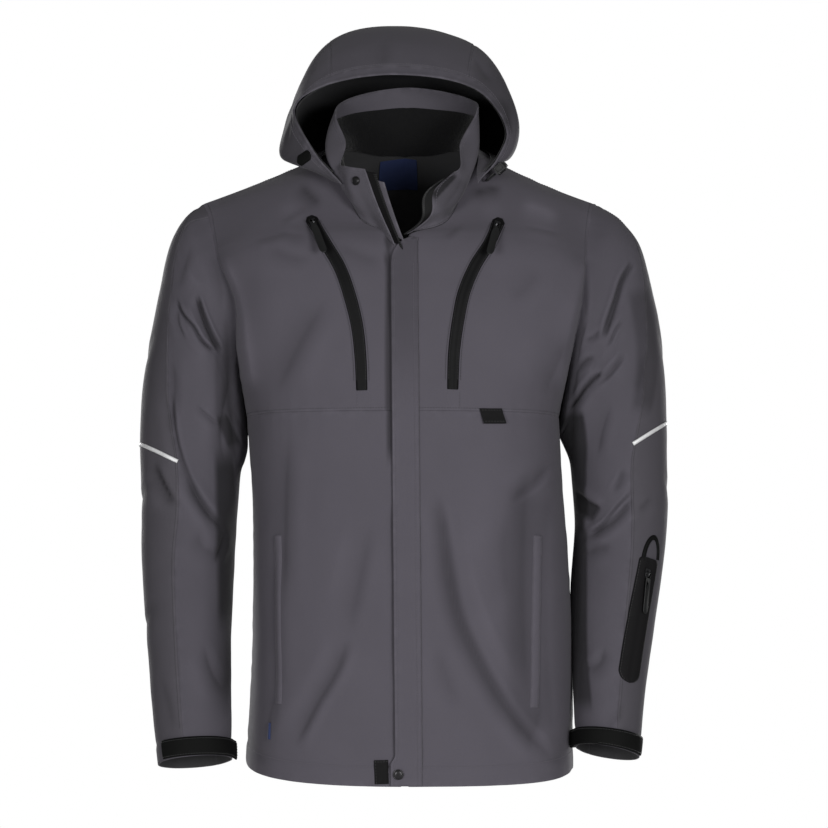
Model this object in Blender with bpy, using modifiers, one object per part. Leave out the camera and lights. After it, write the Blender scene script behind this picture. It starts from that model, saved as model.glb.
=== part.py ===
"""Outdoor jacket with a hood, filled out as if worn, with the neck zip undone.

Metres, +Z up, the front faces -Y and the wearer's left is +X. The origin lies in
the middle of the neck opening. Each cloth piece is a wall that follows a surface
worked out from the section tables below, and each piece of trim is made from the
points of the panel that it lies on, moved out.
"""

import math

import bpy
import numpy as np
from mathutils import Matrix
from mathutils import Vector

PART_NAME = "outdoor_jacket"

# Cloth and seams
CLOTH = 0.0020
LINING = 0.0012
TRIM = 0.0012
SEAM_GAP = 0.0003
CURVED_SEAM_GAP = 0.0008
ARMHOLE_GAP = 0.0014
COLLAR_GAP = 0.0028
LIFT = 0.0010
FLAP_LIFT = 0.0014
FRONT_OPENING = 0.008

# Small steps for slopes, and the search for a place in the front view
STEP = 0.002
SEARCH_ROUNDS = 25
SEARCH_SHARE = 0.7
SEARCH_LIMIT = 0.995
HALF_CHEST = 0.21

# Outline of the torso: fullness of a section between its middle and its side
FULLNESS = 0.08

# Where the sections of the body change their part
ARMPIT = 0.60
FRONT_NECK = 0.88
BACK_NECK = 0.925
ARMPIT_ROW = 4
SHOULDER_BLEND = 0.06
NECK_BLEND = 0.02
BODY_CELLS = 11
SLEEVE_FRONT_CELLS = 9
SLEEVE_BACK_CELLS = 10
RIGHT_OF_MIDDLE = -1e-9
BRIM_END = 0.045

# Rows of the panels: start, end and number of cells
LOWER_ROWS = ((0.0, ARMPIT, 11),)
YOKE_ROWS = ((ARMPIT, FRONT_NECK, 8), (FRONT_NECK, 1.0, 6))
BACK_ROWS = ((0.0, ARMPIT, 9), (ARMPIT, 0.85, 5), (0.85, BACK_NECK, 4), (BACK_NECK, 1.0, 5))
SLEEVE_ROWS = ((0.0, 1.0, 17),)
COLLAR_ROWS = ((0.0, 0.1, 1), (0.1, 0.7, 3), (0.7, 1.0, 2))
FACING_ROWS = ((0.1, 0.7, 3),)
HOOD_ROWS = ((BRIM_END, 1.0, 11),)
BRIM_ROWS = ((0.0, BRIM_END, 1),)
HOOD_LINING_ROWS = ((0.012, BRIM_END, 1), (BRIM_END, 1.0 - (1.0 - BRIM_END) / 11, 10))
LABEL_ROWS = ((0.8875, 0.9195, 2),)

# Front sections from the hem up to the shoulder seam.
# level, place, middle x y z, side x on the wearer's right and left, side y z, roundness, arch
FRONT_SECTIONS = (
    ("hem", 0.00, 0.000, -0.150, -0.7445, 0.1985, 0.2095, 0.005, -0.7270, 1.00, 0.000),
    ("hip", 0.14, 0.000, -0.153, -0.6400, 0.1912, 0.2075, 0.005, -0.6220, 1.00, 0.000),
    ("waist", 0.34, 0.000, -0.150, -0.4870, 0.1895, 0.2015, 0.006, -0.4820, 1.00, 0.000),
    ("ribs", 0.48, 0.000, -0.147, -0.3880, 0.1900, 0.1955, 0.012, -0.3860, 1.00, 0.000),
    ("armpit", 0.60, 0.000, -0.145, -0.2905, 0.1990, 0.1930, 0.022, -0.3000, 1.00, 0.000),
    ("chest", 0.72, 0.000, -0.142, -0.2050, 0.2085, 0.2080, -0.038, -0.2150, 0.95, 0.000),
    ("collarbone", 0.82, 0.000, -0.131, -0.1300, 0.2125, 0.2200, -0.046, -0.1500, 0.85, 0.000),
    ("neck point", 0.88, 0.000, -0.113, -0.0780, 0.2320, 0.2250, -0.036, -0.1040, 0.70, 0.004),
    ("neck side", 0.925, 0.055, -0.088, -0.0550, 0.2390, 0.2280, -0.022, -0.0760, 0.40, 0.010),
    ("yoke line", 0.96, 0.077, -0.045, 0.0040, 0.2460, 0.2330, -0.002, -0.0500, 0.15, 0.006),
    ("shoulder", 1.00, 0.083, 0.012, 0.0380, 0.2540, 0.2380, 0.022, -0.0340, 0.00, 0.000),
)

# Back sections, with the same columns. The side seam is the front's.
BACK_SECTIONS = (
    ("hem", 0.00, 0.000, 0.128, -0.7380, 0.1985, 0.2095, 0.005, -0.7270, 1.00, 0.000),
    ("hip", 0.14, 0.000, 0.134, -0.6320, 0.1912, 0.2075, 0.005, -0.6220, 1.00, 0.000),
    ("waist", 0.34, 0.000, 0.118, -0.4860, 0.1895, 0.2015, 0.006, -0.4820, 1.00, 0.000),
    ("ribs", 0.48, 0.000, 0.122, -0.3880, 0.1900, 0.1955, 0.012, -0.3860, 1.00, 0.000),
    ("armpit", 0.60, 0.000, 0.132, -0.2960, 0.1990, 0.1930, 0.022, -0.3000, 1.00, 0.000),
    ("blade", 0.72, 0.000, 0.140, -0.1950, 0.2060, 0.2050, 0.086, -0.2100, 0.95, 0.000),
    ("upper back", 0.82, 0.000, 0.130, -0.1000, 0.2110, 0.2150, 0.092, -0.1480, 0.85, 0.000),
    ("below neck", 0.88, 0.000, 0.112, -0.0350, 0.2290, 0.2220, 0.086, -0.1020, 0.70, 0.004),
    ("back neck", 0.925, 0.000, 0.084, 0.0360, 0.2370, 0.2260, 0.071, -0.0740, 0.40, 0.008),
    ("nape", 0.94, 0.030, 0.079, 0.0370, 0.2404, 0.2286, 0.062, -0.0633, 0.29, 0.007),
    ("neck turn", 0.96, 0.056, 0.062, 0.0400, 0.2450, 0.2320, 0.050, -0.0490, 0.15, 0.006),
    ("shoulder", 1.00, 0.083, 0.012, 0.0380, 0.2540, 0.2380, 0.022, -0.0340, 0.00, 0.000),
)

# Sleeve rings below the armhole, from the shoulder to the cuff.
# place, inner x z, outer x z, middle y, half depth, rise of the front of the ring
SLEEVE_RINGS = {
    "right": (
        (0.07, 0.2012, -0.315, 0.2750, -0.0455, 0.022, 0.074, 0.000),
        (0.15, 0.2030, -0.325, 0.2945, -0.0780, 0.021, 0.078, 0.000),
        (0.25, 0.2030, -0.337, 0.3095, -0.1420, 0.020, 0.079, 0.000),
        (0.35, 0.2030, -0.352, 0.3205, -0.2060, 0.020, 0.077, 0.000),
        (0.45, 0.2040, -0.370, 0.3300, -0.2750, 0.020, 0.074, 0.000),
        (0.53, 0.2050, -0.397, 0.3325, -0.3350, 0.018, 0.071, 0.004),
        (0.60, 0.2075, -0.436, 0.3300, -0.4050, 0.014, 0.068, 0.008),
        (0.70, 0.2115, -0.503, 0.3295, -0.4800, 0.002, 0.063, 0.012),
        (0.80, 0.2150, -0.572, 0.3225, -0.5580, -0.016, 0.058, 0.013),
        (0.90, 0.2155, -0.645, 0.3145, -0.6400, -0.036, 0.053, 0.013),
        (1.00, 0.2135, -0.722, 0.3040, -0.7250, -0.056, 0.048, 0.012),
    ),
    "left": (
        (0.07, 0.1980, -0.315, 0.2670, -0.0435, 0.022, 0.074, 0.000),
        (0.15, 0.2005, -0.325, 0.2930, -0.0770, 0.021, 0.078, 0.000),
        (0.25, 0.2020, -0.337, 0.3105, -0.1420, 0.020, 0.079, 0.000),
        (0.35, 0.2035, -0.352, 0.3225, -0.2060, 0.020, 0.077, 0.000),
        (0.45, 0.2050, -0.370, 0.3275, -0.2750, 0.020, 0.074, 0.000),
        (0.53, 0.2075, -0.397, 0.3285, -0.3350, 0.018, 0.071, 0.004),
        (0.60, 0.2105, -0.436, 0.3290, -0.4050, 0.014, 0.068, 0.008),
        (0.70, 0.2105, -0.503, 0.3225, -0.4800, 0.002, 0.063, 0.012),
        (0.80, 0.2095, -0.572, 0.3085, -0.5580, -0.016, 0.058, 0.013),
        (0.90, 0.2100, -0.643, 0.2965, -0.6380, -0.036, 0.053, 0.013),
        (1.00, 0.2110, -0.712, 0.2885, -0.7170, -0.056, 0.048, 0.012),
    ),
}

# Sleeve seams, as turns round the arm from its inner side by way of the front
SEAM_AT_SHOULDER = 0.40
SEAM_AT_ELBOW = 0.285
SEAM_AT_BACK = 0.84
ELBOW = {"right": 0.53, "left": 0.505}

# Top edge of the stand collar, from its right front end round the back to the left one.
# share of the way round, x y z, how far the wall bulges below that edge
COLLAR_TOP = (
    (0.00, -0.047, -0.112, 0.003, 0.004),
    (0.08, -0.072, -0.094, 0.008, 0.006),
    (0.16, -0.080, -0.062, 0.026, 0.012),
    (0.26, -0.087, -0.015, 0.068, 0.018),
    (0.37, -0.078, 0.042, 0.098, 0.010),
    (0.50, 0.003, 0.090, 0.118, 0.006),
    (0.63, 0.078, 0.042, 0.102, 0.008),
    (0.74, 0.089, -0.015, 0.076, 0.010),
    (0.84, 0.076, -0.062, 0.036, 0.008),
    (0.92, 0.082, -0.092, 0.008, 0.006),
    (1.00, 0.060, -0.112, -0.002, 0.006),
)
COLLAR_BULGE_PLACE = 0.8
COLLAR_FOOT = 0.3
COLLAR_CELLS = 30

# Hood arches from the face opening back to the neck seam.
# arch, place, then x y z at the seam, low, wide and brow points, y z at the top, lean
HOOD_ARCHES = (
    ("rim", 0.00, 0.070, -0.093, -0.044, 0.103, -0.066, 0.026, 0.1315, -0.040, 0.068,
     0.102, -0.020, 0.110, -0.020, 0.132, -0.012),
    ("visor", 0.18, 0.080, -0.066, -0.010, 0.128, -0.042, 0.018, 0.148, -0.018, 0.056,
     0.107, 0.012, 0.142, 0.014, 0.174, 0.004),
    ("crown", 0.38, 0.090, -0.028, 0.026, 0.138, -0.008, 0.020, 0.152, 0.006, 0.052,
     0.109, 0.048, 0.157, 0.062, 0.197, 0.004),
    ("back", 0.60, 0.078, 0.050, 0.046, 0.122, 0.072, 0.026, 0.141, 0.084, 0.060,
     0.102, 0.120, 0.146, 0.145, 0.176, 0.002),
    ("nape", 0.78, 0.056, 0.078, 0.046, 0.094, 0.104, 0.018, 0.112, 0.138, 0.036,
     0.078, 0.180, 0.078, 0.200, 0.092, 0.000),
    ("pouch", 0.91, 0.044, 0.090, 0.046, 0.068, 0.108, 0.020, 0.076, 0.136, 0.014,
     0.056, 0.166, 0.022, 0.182, 0.024, 0.000),
    ("seam", 1.00, 0.034, 0.096, 0.046, 0.029, 0.098, 0.043, 0.022, 0.100, 0.041,
     0.012, 0.102, 0.040, 0.103, 0.040, 0.000),
)
HOOD_STATIONS = (-1.0, -0.80, -0.60, -0.36, 0.0, 0.36, 0.60, 0.80, 1.0)
HOOD_MIDDLE = -0.008

# How far each wing of the hood stands out, back and up from the arch, at its seam and low points
HOOD_SHIFTS = {
    ("rim", "left"): ((0.020, 0.012, 0.032), (0.014, 0.004, 0.000)),
    ("visor", "left"): ((0.008, 0.004, 0.014), (0.004, 0.000, 0.002)),
    ("visor", "right"): ((0.010, 0.000, 0.002),),
    ("crown", "right"): ((0.013, 0.000, 0.004),),
}
HOOD_CELLS = 28
HOOD_SIDE_CELLS = 10
HOOD_SEAM = 1.0 - 2.0 * HOOD_SIDE_CELLS / HOOD_CELLS
HOOD_PANELS = {
    "side_right": (-1.0, -HOOD_SEAM, HOOD_SIDE_CELLS),
    "crown": (-HOOD_SEAM, HOOD_SEAM, HOOD_CELLS - 2 * HOOD_SIDE_CELLS),
    "side_left": (HOOD_SEAM, 1.0, HOOD_SIDE_CELLS),
}
HOOD_LINING_END = 1.0 - 2.0 / HOOD_CELLS

# Large soft folds in the front view.
# fold, start x z, end x z, half width, depth outwards
FOLDS = (
    ("left skirt", 0.040, -0.395, 0.075, -0.560, 0.035, -0.005),
    ("left skirt low", 0.075, -0.560, 0.165, -0.695, 0.035, -0.006),
    ("left skirt ridge", 0.075, -0.470, 0.140, -0.640, 0.040, 0.005),
    ("right skirt", -0.095, -0.610, -0.135, -0.700, 0.035, -0.005),
    ("right flank", -0.150, -0.300, -0.152, -0.395, 0.030, -0.004),
    ("left flank", 0.172, -0.350, 0.130, -0.420, 0.030, -0.004),
    ("right upper sleeve", -0.262, -0.140, -0.224, -0.225, 0.026, -0.005),
    ("right sleeve ridge", -0.290, -0.160, -0.245, -0.250, 0.026, 0.004),
    ("right elbow", -0.318, -0.400, -0.235, -0.440, 0.028, -0.005),
    ("right forearm", -0.235, -0.520, -0.300, -0.590, 0.030, -0.004),
    ("left upper sleeve", 0.285, -0.115, 0.222, -0.240, 0.026, -0.005),
    ("left sleeve ridge", 0.285, -0.180, 0.232, -0.260, 0.026, 0.004),
    ("left elbow", 0.318, -0.380, 0.240, -0.420, 0.028, -0.005),
    ("left forearm", 0.218, -0.495, 0.243, -0.540, 0.026, -0.004),
)
FRONT_FOLD_FADE = 0.15
SHOULDER_FOLD_FADE = 0.12
SLEEVE_FOLD_FADE = 0.12
CUFF_FOLD_FADE = 0.06
ARMHOLE_BLEND = 0.05
FACING_SHARE = 1.6

# Trim on the fronts, in the front view
FLAP_RIGHT_EDGE = -0.0170
FLAP_LEFT_EDGE = 0.0160
FLAP_LEAN = 0.006
FLAP_TOP = -0.082
FLAP_BOTTOM = -0.7435
FLAP_POINTS = 19
FLAP_COLUMNS = 6
FLAP_CORNER_HEIGHT = 0.034
FLAP_CORNER_WIDTH = 0.026
FRONT_ZIP_TOP = -0.100
FRONT_ZIP_BOTTOM = -0.738
FRONT_ZIP_HALF = 0.010
CHEST_ZIP_PATH = {
    "right": ((-0.119, -0.052), (-0.086, -0.104), (-0.066, -0.168), (-0.051, -0.266)),
    "left": ((0.118, -0.055), (0.092, -0.105), (0.067, -0.166), (0.057, -0.264)),
}
CHEST_ZIP_WIDTH = 0.0135
CHEST_ZIP_LENGTH = 0.23
CHEST_SLIDER_PLACES = (0.055, 0.11)
CHEST_PULL_HANG = 0.55
WELT_PATH = {
    "right": ((-0.157, -0.443), (-0.154, -0.648)),
    "left": ((0.162, -0.443), (0.158, -0.652)),
}
WELT_WIDTH = 0.014
WELT_POINTS = 8
TAB_POINTS = 3
LOOP_PATH = ((0.1045, -0.2865), (0.1045, -0.3070))
LOOP_WIDTH = 0.030
HEM_TAB_PATH = ((-0.0285, -0.7120), (-0.0275, -0.7410))
HEM_TAB_WIDTH = 0.017
HEM_SNAP_PLACE = (-0.0075, -0.7290)
SIDE_TAG_PATH = ((-0.1655, -0.6720), (-0.1655, -0.6920))
SIDE_TAG_WIDTH = 0.006

# Trim on the sleeves, as turns round the arm and places along it
POCKET_PATH = ((0.352, 0.704), (0.330, 0.893))
POCKET_WIDTH = 0.026
POCKET_LENGTH = 0.175
POCKET_SLIDER_PLACES = (0.10, 0.16)
POCKET_PULL_HANG = 0.4
POCKET_ARCH_MIDDLE = (0.366, 0.698)
POCKET_ARCH_HALF_TURN = 0.036
POCKET_ARCH_LENGTH = 0.040
POCKET_ARCH_WIDTH = 0.0048
CUFF_STRAP_TURNS = {"right": (0.42, -0.045), "left": (0.46, -0.030)}
CUFF_STRAP_PLACE = 0.980
CUFF_STRAP_WIDTH = 0.023
REFLECTOR_WIDTH = 0.0050
REFLECTOR_THICKNESS = 0.0008
BAND_POINTS = 15

# Trim at the neck and on the hood
NECK_TAPE_WIDTH = 0.0100
NECK_TAPE_ROWS = ((0.24, 0.97, 7),)
GUARD_WIDTH = 0.0060
GUARD_ROWS = ((0.30, 0.88, 6),)
NECK_EDGE_STEP = 0.02
LABEL_SIDES = (-0.100, 0.048)
COLLAR_SNAP_PLACE = (0.052, 0.78)
SNAP_RADIUS = 0.0058
SNAP_HEIGHT = 0.0022
SNAP_PROFILE = ((0.0, 1.0), (0.55, 1.0), (0.70, 0.7), (0.95, 0.6), (1.0, 0.0), (0.0, 0.0))
SNAP_STEPS = 20
CORD_PATCH_PATH = ((-0.86, 0.085), (-0.70, 0.085))
CORD_PATCH_WIDTH = 0.014
CORD_PATCH_LENGTH = 0.034
CORD_LOCK_PLACE = (0.865, 0.11)
CORD_LOCK_SIZE = (0.013, 0.010, 0.018)
CORD_LOCK_ROUNDING = 0.003
CORD_RADIUS = 0.0012
CORD_LOOP_HALF = 0.005
CORD_LEG = 0.0085
CORD_LEG_POINTS = 4

# Zip sliders and pull tabs: along the zip, across it and out from it
SLIDER_SIZE = (0.0080, 0.0110, 0.0022)
BRIDGE_HALF_LENGTH = 0.0040
BRIDGE_HEIGHT = 0.0054
BRIDGE_RADIUS = 0.0007
BRIDGE_SHOULDER = 0.0042
BRIDGE_FOOT = 0.0009
BRIDGE_FLAT = 0.7
AXLE_HEIGHT = 0.00335
PULL_THICKNESS = 0.0016
PULL_AXLE_HALF = 0.0007
PULL_WINDOW_END = 0.0068
PULL_WINDOW_HALF = 0.0024
PULL_BAR = 0.0012
PULL_SHOULDER = 0.004
WELD_DISTANCE = 0.00001
PULLS = {
    "chest_right": {"length": 0.036, "half": 0.0045},
    "chest_left": {"length": 0.034, "half": 0.0045},
    "sleeve": {"length": 0.050, "half": 0.0038},
}

# Colours, roughness and metal of the finishes
FINISHES = {
    "shell": ((0.090, 0.083, 0.102), 0.80, 0.0),
    "black_trim": ((0.012, 0.012, 0.013), 0.70, 0.0),
    "lining": ((0.008, 0.008, 0.009), 0.95, 0.0),
    "zip_tape": ((0.010, 0.010, 0.011), 0.55, 0.0),
    "moulded": ((0.020, 0.020, 0.021), 0.45, 0.0),
    "reflective": ((0.420, 0.420, 0.430), 0.35, 0.2),
    "snap": ((0.060, 0.058, 0.060), 0.40, 0.6),
    "label": ((0.020, 0.035, 0.110), 0.75, 0.0),
}

SIDES = {"right": -1.0, "left": 1.0}


def clear_scene():
    """Remove what the file starts with."""
    for thing in list(bpy.data.objects):
        bpy.data.objects.remove(thing, do_unlink=True)


def finish(name):
    """The material of that finish, made once."""
    if name in bpy.data.materials:
        return bpy.data.materials[name]
    colour, roughness, metal = FINISHES[name]
    material = bpy.data.materials.new(name)
    material.use_nodes = True
    shader = material.node_tree.nodes["Principled BSDF"]
    shader.inputs["Base Color"].default_value = (*colour, 1.0)
    shader.inputs["Roughness"].default_value = roughness
    shader.inputs["Metallic"].default_value = metal
    return material


def unit(vectors):
    """Vectors of length one."""
    return vectors / np.maximum(np.linalg.norm(vectors, axis=-1, keepdims=True), 1e-12)


def ease(value):
    """A smooth step from 0 to 1."""
    value = np.clip(value, 0.0, 1.0)
    return value * value * (3.0 - 2.0 * value)


def mix(first, second, share):
    """The value between first and second."""
    return first + (second - first) * share


def spline(knots, values, at, corner=None):
    """A smooth curve through the values at the knots, read at each place of at.

    The values are (row, column), or (row, place, column) where each place has its
    own rows. The row given as corner keeps a corner.
    """
    knots = np.asarray(knots, float)
    values = np.asarray(values, float)
    at = np.asarray(at, float)
    flat = np.clip(at.ravel(), knots[0], knots[-1])
    if values.ndim == 2:
        values = np.repeat(values[:, None, :], len(flat), axis=1)
    spans = np.diff(knots)[:, None, None]
    slopes = np.diff(values, axis=0) / spans
    middle = (slopes[:-1] * spans[1:] + slopes[1:] * spans[:-1]) / (spans[1:] + spans[:-1])
    leaving = np.concatenate([slopes[:1], middle, slopes[-1:]])
    arriving = leaving.copy()
    if corner is not None:
        arriving[corner] = slopes[corner - 1]
        leaving[corner] = slopes[corner]
    row = np.clip(np.searchsorted(knots, flat, side="right") - 1, 0, len(knots) - 2)
    place = np.arange(len(flat))
    span = (knots[row + 1] - knots[row])[:, None]
    u = ((flat - knots[row]) / span[:, 0])[:, None]
    start = values[row, place]
    end = values[row + 1, place]
    result = (
        start * (1 + 2 * u) * (1 - u) ** 2
        + leaving[row, place] * span * u * (1 - u) ** 2
        + end * u * u * (3 - 2 * u)
        - arriving[row + 1, place] * span * u * u * (1 - u)
    )
    return result.reshape(at.shape + (values.shape[-1],))


def fold_push(points):
    """How far the folds move the points of a front out or in."""
    push = np.zeros(points.shape[:-1])
    x = points[..., 0]
    z = points[..., 2]
    for _, x0, z0, x1, z1, half_width, depth in FOLDS:
        length = math.hypot(x1 - x0, z1 - z0)
        along = ((x - x0) * (x1 - x0) + (z - z0) * (z1 - z0)) / length
        across = ((x - x0) * (z1 - z0) - (z - z0) * (x1 - x0)) / length
        beyond = np.maximum(np.maximum(-along, along - length), 0.0)
        away = np.hypot(across, beyond) / half_width
        push += depth * (1.0 - ease(away))
    return push


class Surface:
    """A surface with two coordinates, whose normals point out of the garment."""

    def __init__(self, shape, outward=1.0, folds=None, joined=None):
        self.shape = shape
        self.outward = outward
        self.folds = folds
        self.joined = joined

    def plain_normal(self, shape, a, b):
        """The direction square to a shape."""
        along_a = shape(a + STEP, b) - shape(a - STEP, b)
        along_b = shape(a, b + STEP) - shape(a, b - STEP)
        return unit(np.cross(along_a, along_b)) * self.outward

    def at(self, a, b):
        """Points of the surface, with its folds."""
        a, b = np.broadcast_arrays(np.asarray(a, float), np.asarray(b, float))
        points = self.shape(a, b)
        if self.folds is None:
            return points
        normals = self.plain_normal(self.shape, a, b)
        facing = ease(-normals[..., 1] * FACING_SHARE)
        push = fold_push(points) * self.folds(a, b) * facing
        return points + normals * push[..., None]

    def normal(self, a, b):
        """Directions out of the surface, shared with the next panel at a seam."""
        a, b = np.broadcast_arrays(np.asarray(a, float), np.asarray(b, float))
        normals = self.plain_normal(self.at, a, b)
        if self.joined is None:
            return normals
        return self.joined(a, b, normals)


def section_columns(sections):
    """The section table as arrays."""
    rows = [row[1:] for row in sections]
    table = np.array(rows)
    side_y_z = table[:, 6:8]
    return {
        "place": table[:, 0],
        "middle": table[:, 1:4],
        -1.0: np.column_stack([table[:, 4], side_y_z]),
        1.0: np.column_stack([table[:, 5], side_y_z]),
        "form": table[:, 8:10],
    }


FRONT = section_columns(FRONT_SECTIONS)
BACK = section_columns(BACK_SECTIONS)


def torso_point(table, side, s, t):
    """The point at share s from the middle to the side of the section at place t."""
    middle = spline(table["place"], table["middle"], t)
    edge = spline(table["place"], table[side], t, ARMPIT_ROW)
    form = spline(table["place"], table["form"], t)
    roundness = form[..., 0]
    turn = np.clip(s, 0.0, 1.0) * math.pi / 2
    extra = FULLNESS * np.sin(2 * turn)
    across = mix(s, np.sin(turn) + extra * np.cos(turn), roundness)
    inward = mix(s, 1 - np.cos(turn) - extra * np.sin(turn), roundness)
    rise = mix(s, s * s, roundness)
    x = mix(np.maximum(middle[..., 0], 0.0), edge[..., 0], across)
    y = mix(middle[..., 1], edge[..., 1], inward)
    z = mix(middle[..., 2], edge[..., 2], rise) + form[..., 1] * np.sin(2 * turn)
    return np.stack([side * x, y, z], axis=-1)


def front_shape(side):
    """The front of one side: s from the middle to the side seam, t up to the shoulder."""

    def shape(s, t):
        return torso_point(FRONT, side, np.clip(s, 0, 1), np.clip(t, 0, 1))

    return shape


def back_shape(s, t):
    """The back: s from the right side seam, -1, to the left one, 1."""
    s = np.clip(s, -1, 1)
    t = np.clip(t, 0, 1)
    left = torso_point(BACK, 1.0, np.abs(s), t)
    right = torso_point(BACK, -1.0, np.abs(s), t)
    return np.where((s >= 0)[..., None], left, right)


def front_folds(s, t):
    """Folds of a front end at its sewn edges."""
    sewn = ease(s / FRONT_FOLD_FADE) * ease((1 - s) / FRONT_FOLD_FADE)
    return sewn * ease((1 - t) / SHOULDER_FOLD_FADE)


def shoulder_join(own, other, mirrored):
    """A rule that gives the front and the back one normal at the shoulder seam."""

    def join(s, t, normals):
        top = np.ones_like(t)
        shared = own.plain_normal(own.shape, s, top) + other.plain_normal(other.shape, mirrored(s), top)
        share = ease((t - 1.0) / SHOULDER_BLEND + 1.0)[..., None]
        return unit(mix(normals, unit(shared), share))

    return join


def torso_surfaces():
    """The two fronts and the back."""
    back = Surface(back_shape, outward=-1.0)
    fronts = {}
    for name, side in SIDES.items():
        front = Surface(front_shape(side), outward=side, folds=front_folds)
        front.joined = shoulder_join(front, back, lambda s, side=side: s * side)
        fronts[name] = front
    left = fronts["left"]
    right = fronts["right"]

    def join_back(s, t, normals):
        to_left = shoulder_join(back, left, np.abs)(s, t, normals)
        to_right = shoulder_join(back, right, np.abs)(s, t, normals)
        return np.where((s >= 0)[..., None], to_left, to_right)

    back.joined = join_back
    return fronts, back


class Armhole:
    """The edge that a sleeve is sewn to, as turns from the armpit by way of the front."""

    SAMPLES = 160

    def __init__(self, front, back, side):
        self.front = front
        self.back = back
        self.side = side
        places = np.linspace(ARMPIT, 1.0, self.SAMPLES)
        ends = np.ones(self.SAMPLES)
        self.places = places
        self.front_share = self.shares(front.shape(ends, places))
        self.back_share = self.shares(back.shape(side * ends, places))

    @staticmethod
    def shares(points):
        """How far along the edge each point lies, from 0 to 1."""
        lengths = np.linalg.norm(np.diff(points, axis=0), axis=1)
        total = np.concatenate([[0.0], np.cumsum(lengths)])
        return total / total[-1]

    def coordinates(self, turn):
        """Whether each turn is on the front, and its place on that edge."""
        turn = np.mod(turn, 1.0)
        on_front = turn <= 0.5
        share = np.where(on_front, turn, 1.0 - turn) * 2.0
        front_place = np.interp(share, self.front_share, self.places)
        back_place = np.interp(share, self.back_share, self.places)
        return on_front, front_place, back_place

    def pick(self, turn, front_values, back_values):
        """Front values where the turn is on the front, and back values elsewhere."""
        on_front, front_place, back_place = self.coordinates(turn)
        ends = np.ones_like(front_place)
        front = front_values(ends, front_place)
        back = back_values(self.side * ends, back_place)
        return np.where(on_front[..., None], front, back)

    def points(self, turn):
        """Points of the edge."""
        return self.pick(turn, self.front.shape, self.back.shape)

    def normals(self, turn):
        """The body's own directions out at the edge."""
        return self.pick(turn, self.front.normal, self.back.normal)


def sleeve_surface(name, armhole):
    """One sleeve: turns round the arm, and the place from the armhole, 0, to the cuff, 1."""
    side = SIDES[name]
    rings = np.array(SLEEVE_RINGS[name])
    places = np.concatenate([[0.0], rings[:, 0]])

    def shape(turn, place):
        flat = turn.ravel()
        angle = 2 * math.pi * flat
        loops = [armhole.points(flat)]
        for _, inner_x, inner_z, outer_x, outer_z, middle_y, depth, rise in rings:
            inward = 0.5 + 0.5 * np.cos(angle)
            x = side * mix(outer_x, inner_x, inward)
            y = middle_y - depth * np.sin(angle)
            z = mix(outer_z, inner_z, inward) + rise * np.sin(angle)
            loops.append(np.stack([x, y, z], axis=-1))
        return spline(places, np.array(loops), place)

    def folds(turn, place):
        return ease(place / SLEEVE_FOLD_FADE) * ease((1 - place) / CUFF_FOLD_FADE)

    def join(turn, place, normals):
        share = ease(place / ARMHOLE_BLEND)[..., None]
        return unit(mix(armhole.normals(turn), normals, share))

    return Surface(shape, outward=-side, folds=folds, joined=join)


def neckline(fronts, back):
    """Points along the neck seam, from the right front end round the back."""
    up = np.linspace(FRONT_NECK, 1.0, 60)
    down = np.linspace(1.0, BACK_NECK, 60)[1:]
    zero = 0.0 * up
    none = 0.0 * down
    right = np.concatenate([fronts["right"].shape(zero, up), back.shape(none + RIGHT_OF_MIDDLE, down)])
    left = np.concatenate([fronts["left"].shape(zero, up), back.shape(none, down)])
    points = np.concatenate([right, left[::-1][1:]])
    return Armhole.shares(points), points


def collar_surface(fronts, back):
    """The stand collar: round the neck from the right front end, and up from the seam."""
    shares, seam = neckline(fronts, back)
    top = np.array(COLLAR_TOP)

    def shape(v, h):
        base = np.stack([np.interp(v, shares, seam[:, axis]) for axis in range(3)], axis=-1)
        edge = spline(top[:, 0], top[:, 1:4], v)
        out = unit(edge * np.array([1.0, 1.0, 0.0]))
        swell = np.sin(math.pi * np.clip(h, 0, 1) ** COLLAR_BULGE_PLACE) * ease(h / COLLAR_FOOT)
        return mix(base, edge, h[..., None]) + out * swell[..., None] * spline(top[:, 0], top[:, 4:], v)

    return Surface(shape, outward=-1.0)


def hood_surface():
    """The hood: s from its right seam end to its left one, t from the face back to the neck."""
    rows = np.array([arch[1:] for arch in HOOD_ARCHES])
    arches = []
    for (name, *_), row in zip(HOOD_ARCHES, rows):
        stations = row[1:13].reshape(4, 3)
        lean = row[15] * np.array([0.0, 0.5, 1.0, 0.2])
        right = stations * np.array([-1.0, 1.0, 1.0])
        left = stations.copy()
        right[:, 2] -= lean
        left[:, 2] += lean
        for wing, points in (("right", right), ("left", left)):
            for station, (out, back, up) in enumerate(HOOD_SHIFTS.get((name, wing), ())):
                points[station] += (SIDES[wing] * out, back, up)
        top = np.array([[0.0, row[13], row[14]]])
        arches.append(np.concatenate([right, top, left[::-1]]))
    arches = np.array(arches)
    arches[:, :, 0] += HOOD_MIDDLE * np.sin(np.linspace(0, math.pi, len(HOOD_STATIONS)))

    def shape(s, t):
        flat = np.clip(t.ravel(), 0, 1)
        columns = spline(rows[:, 0], arches.reshape(len(rows), -1), flat)
        stations = columns.reshape(len(flat), len(HOOD_STATIONS), 3).transpose(1, 0, 2)
        return spline(HOOD_STATIONS, stations, s)

    return Surface(shape, outward=1.0)


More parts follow.
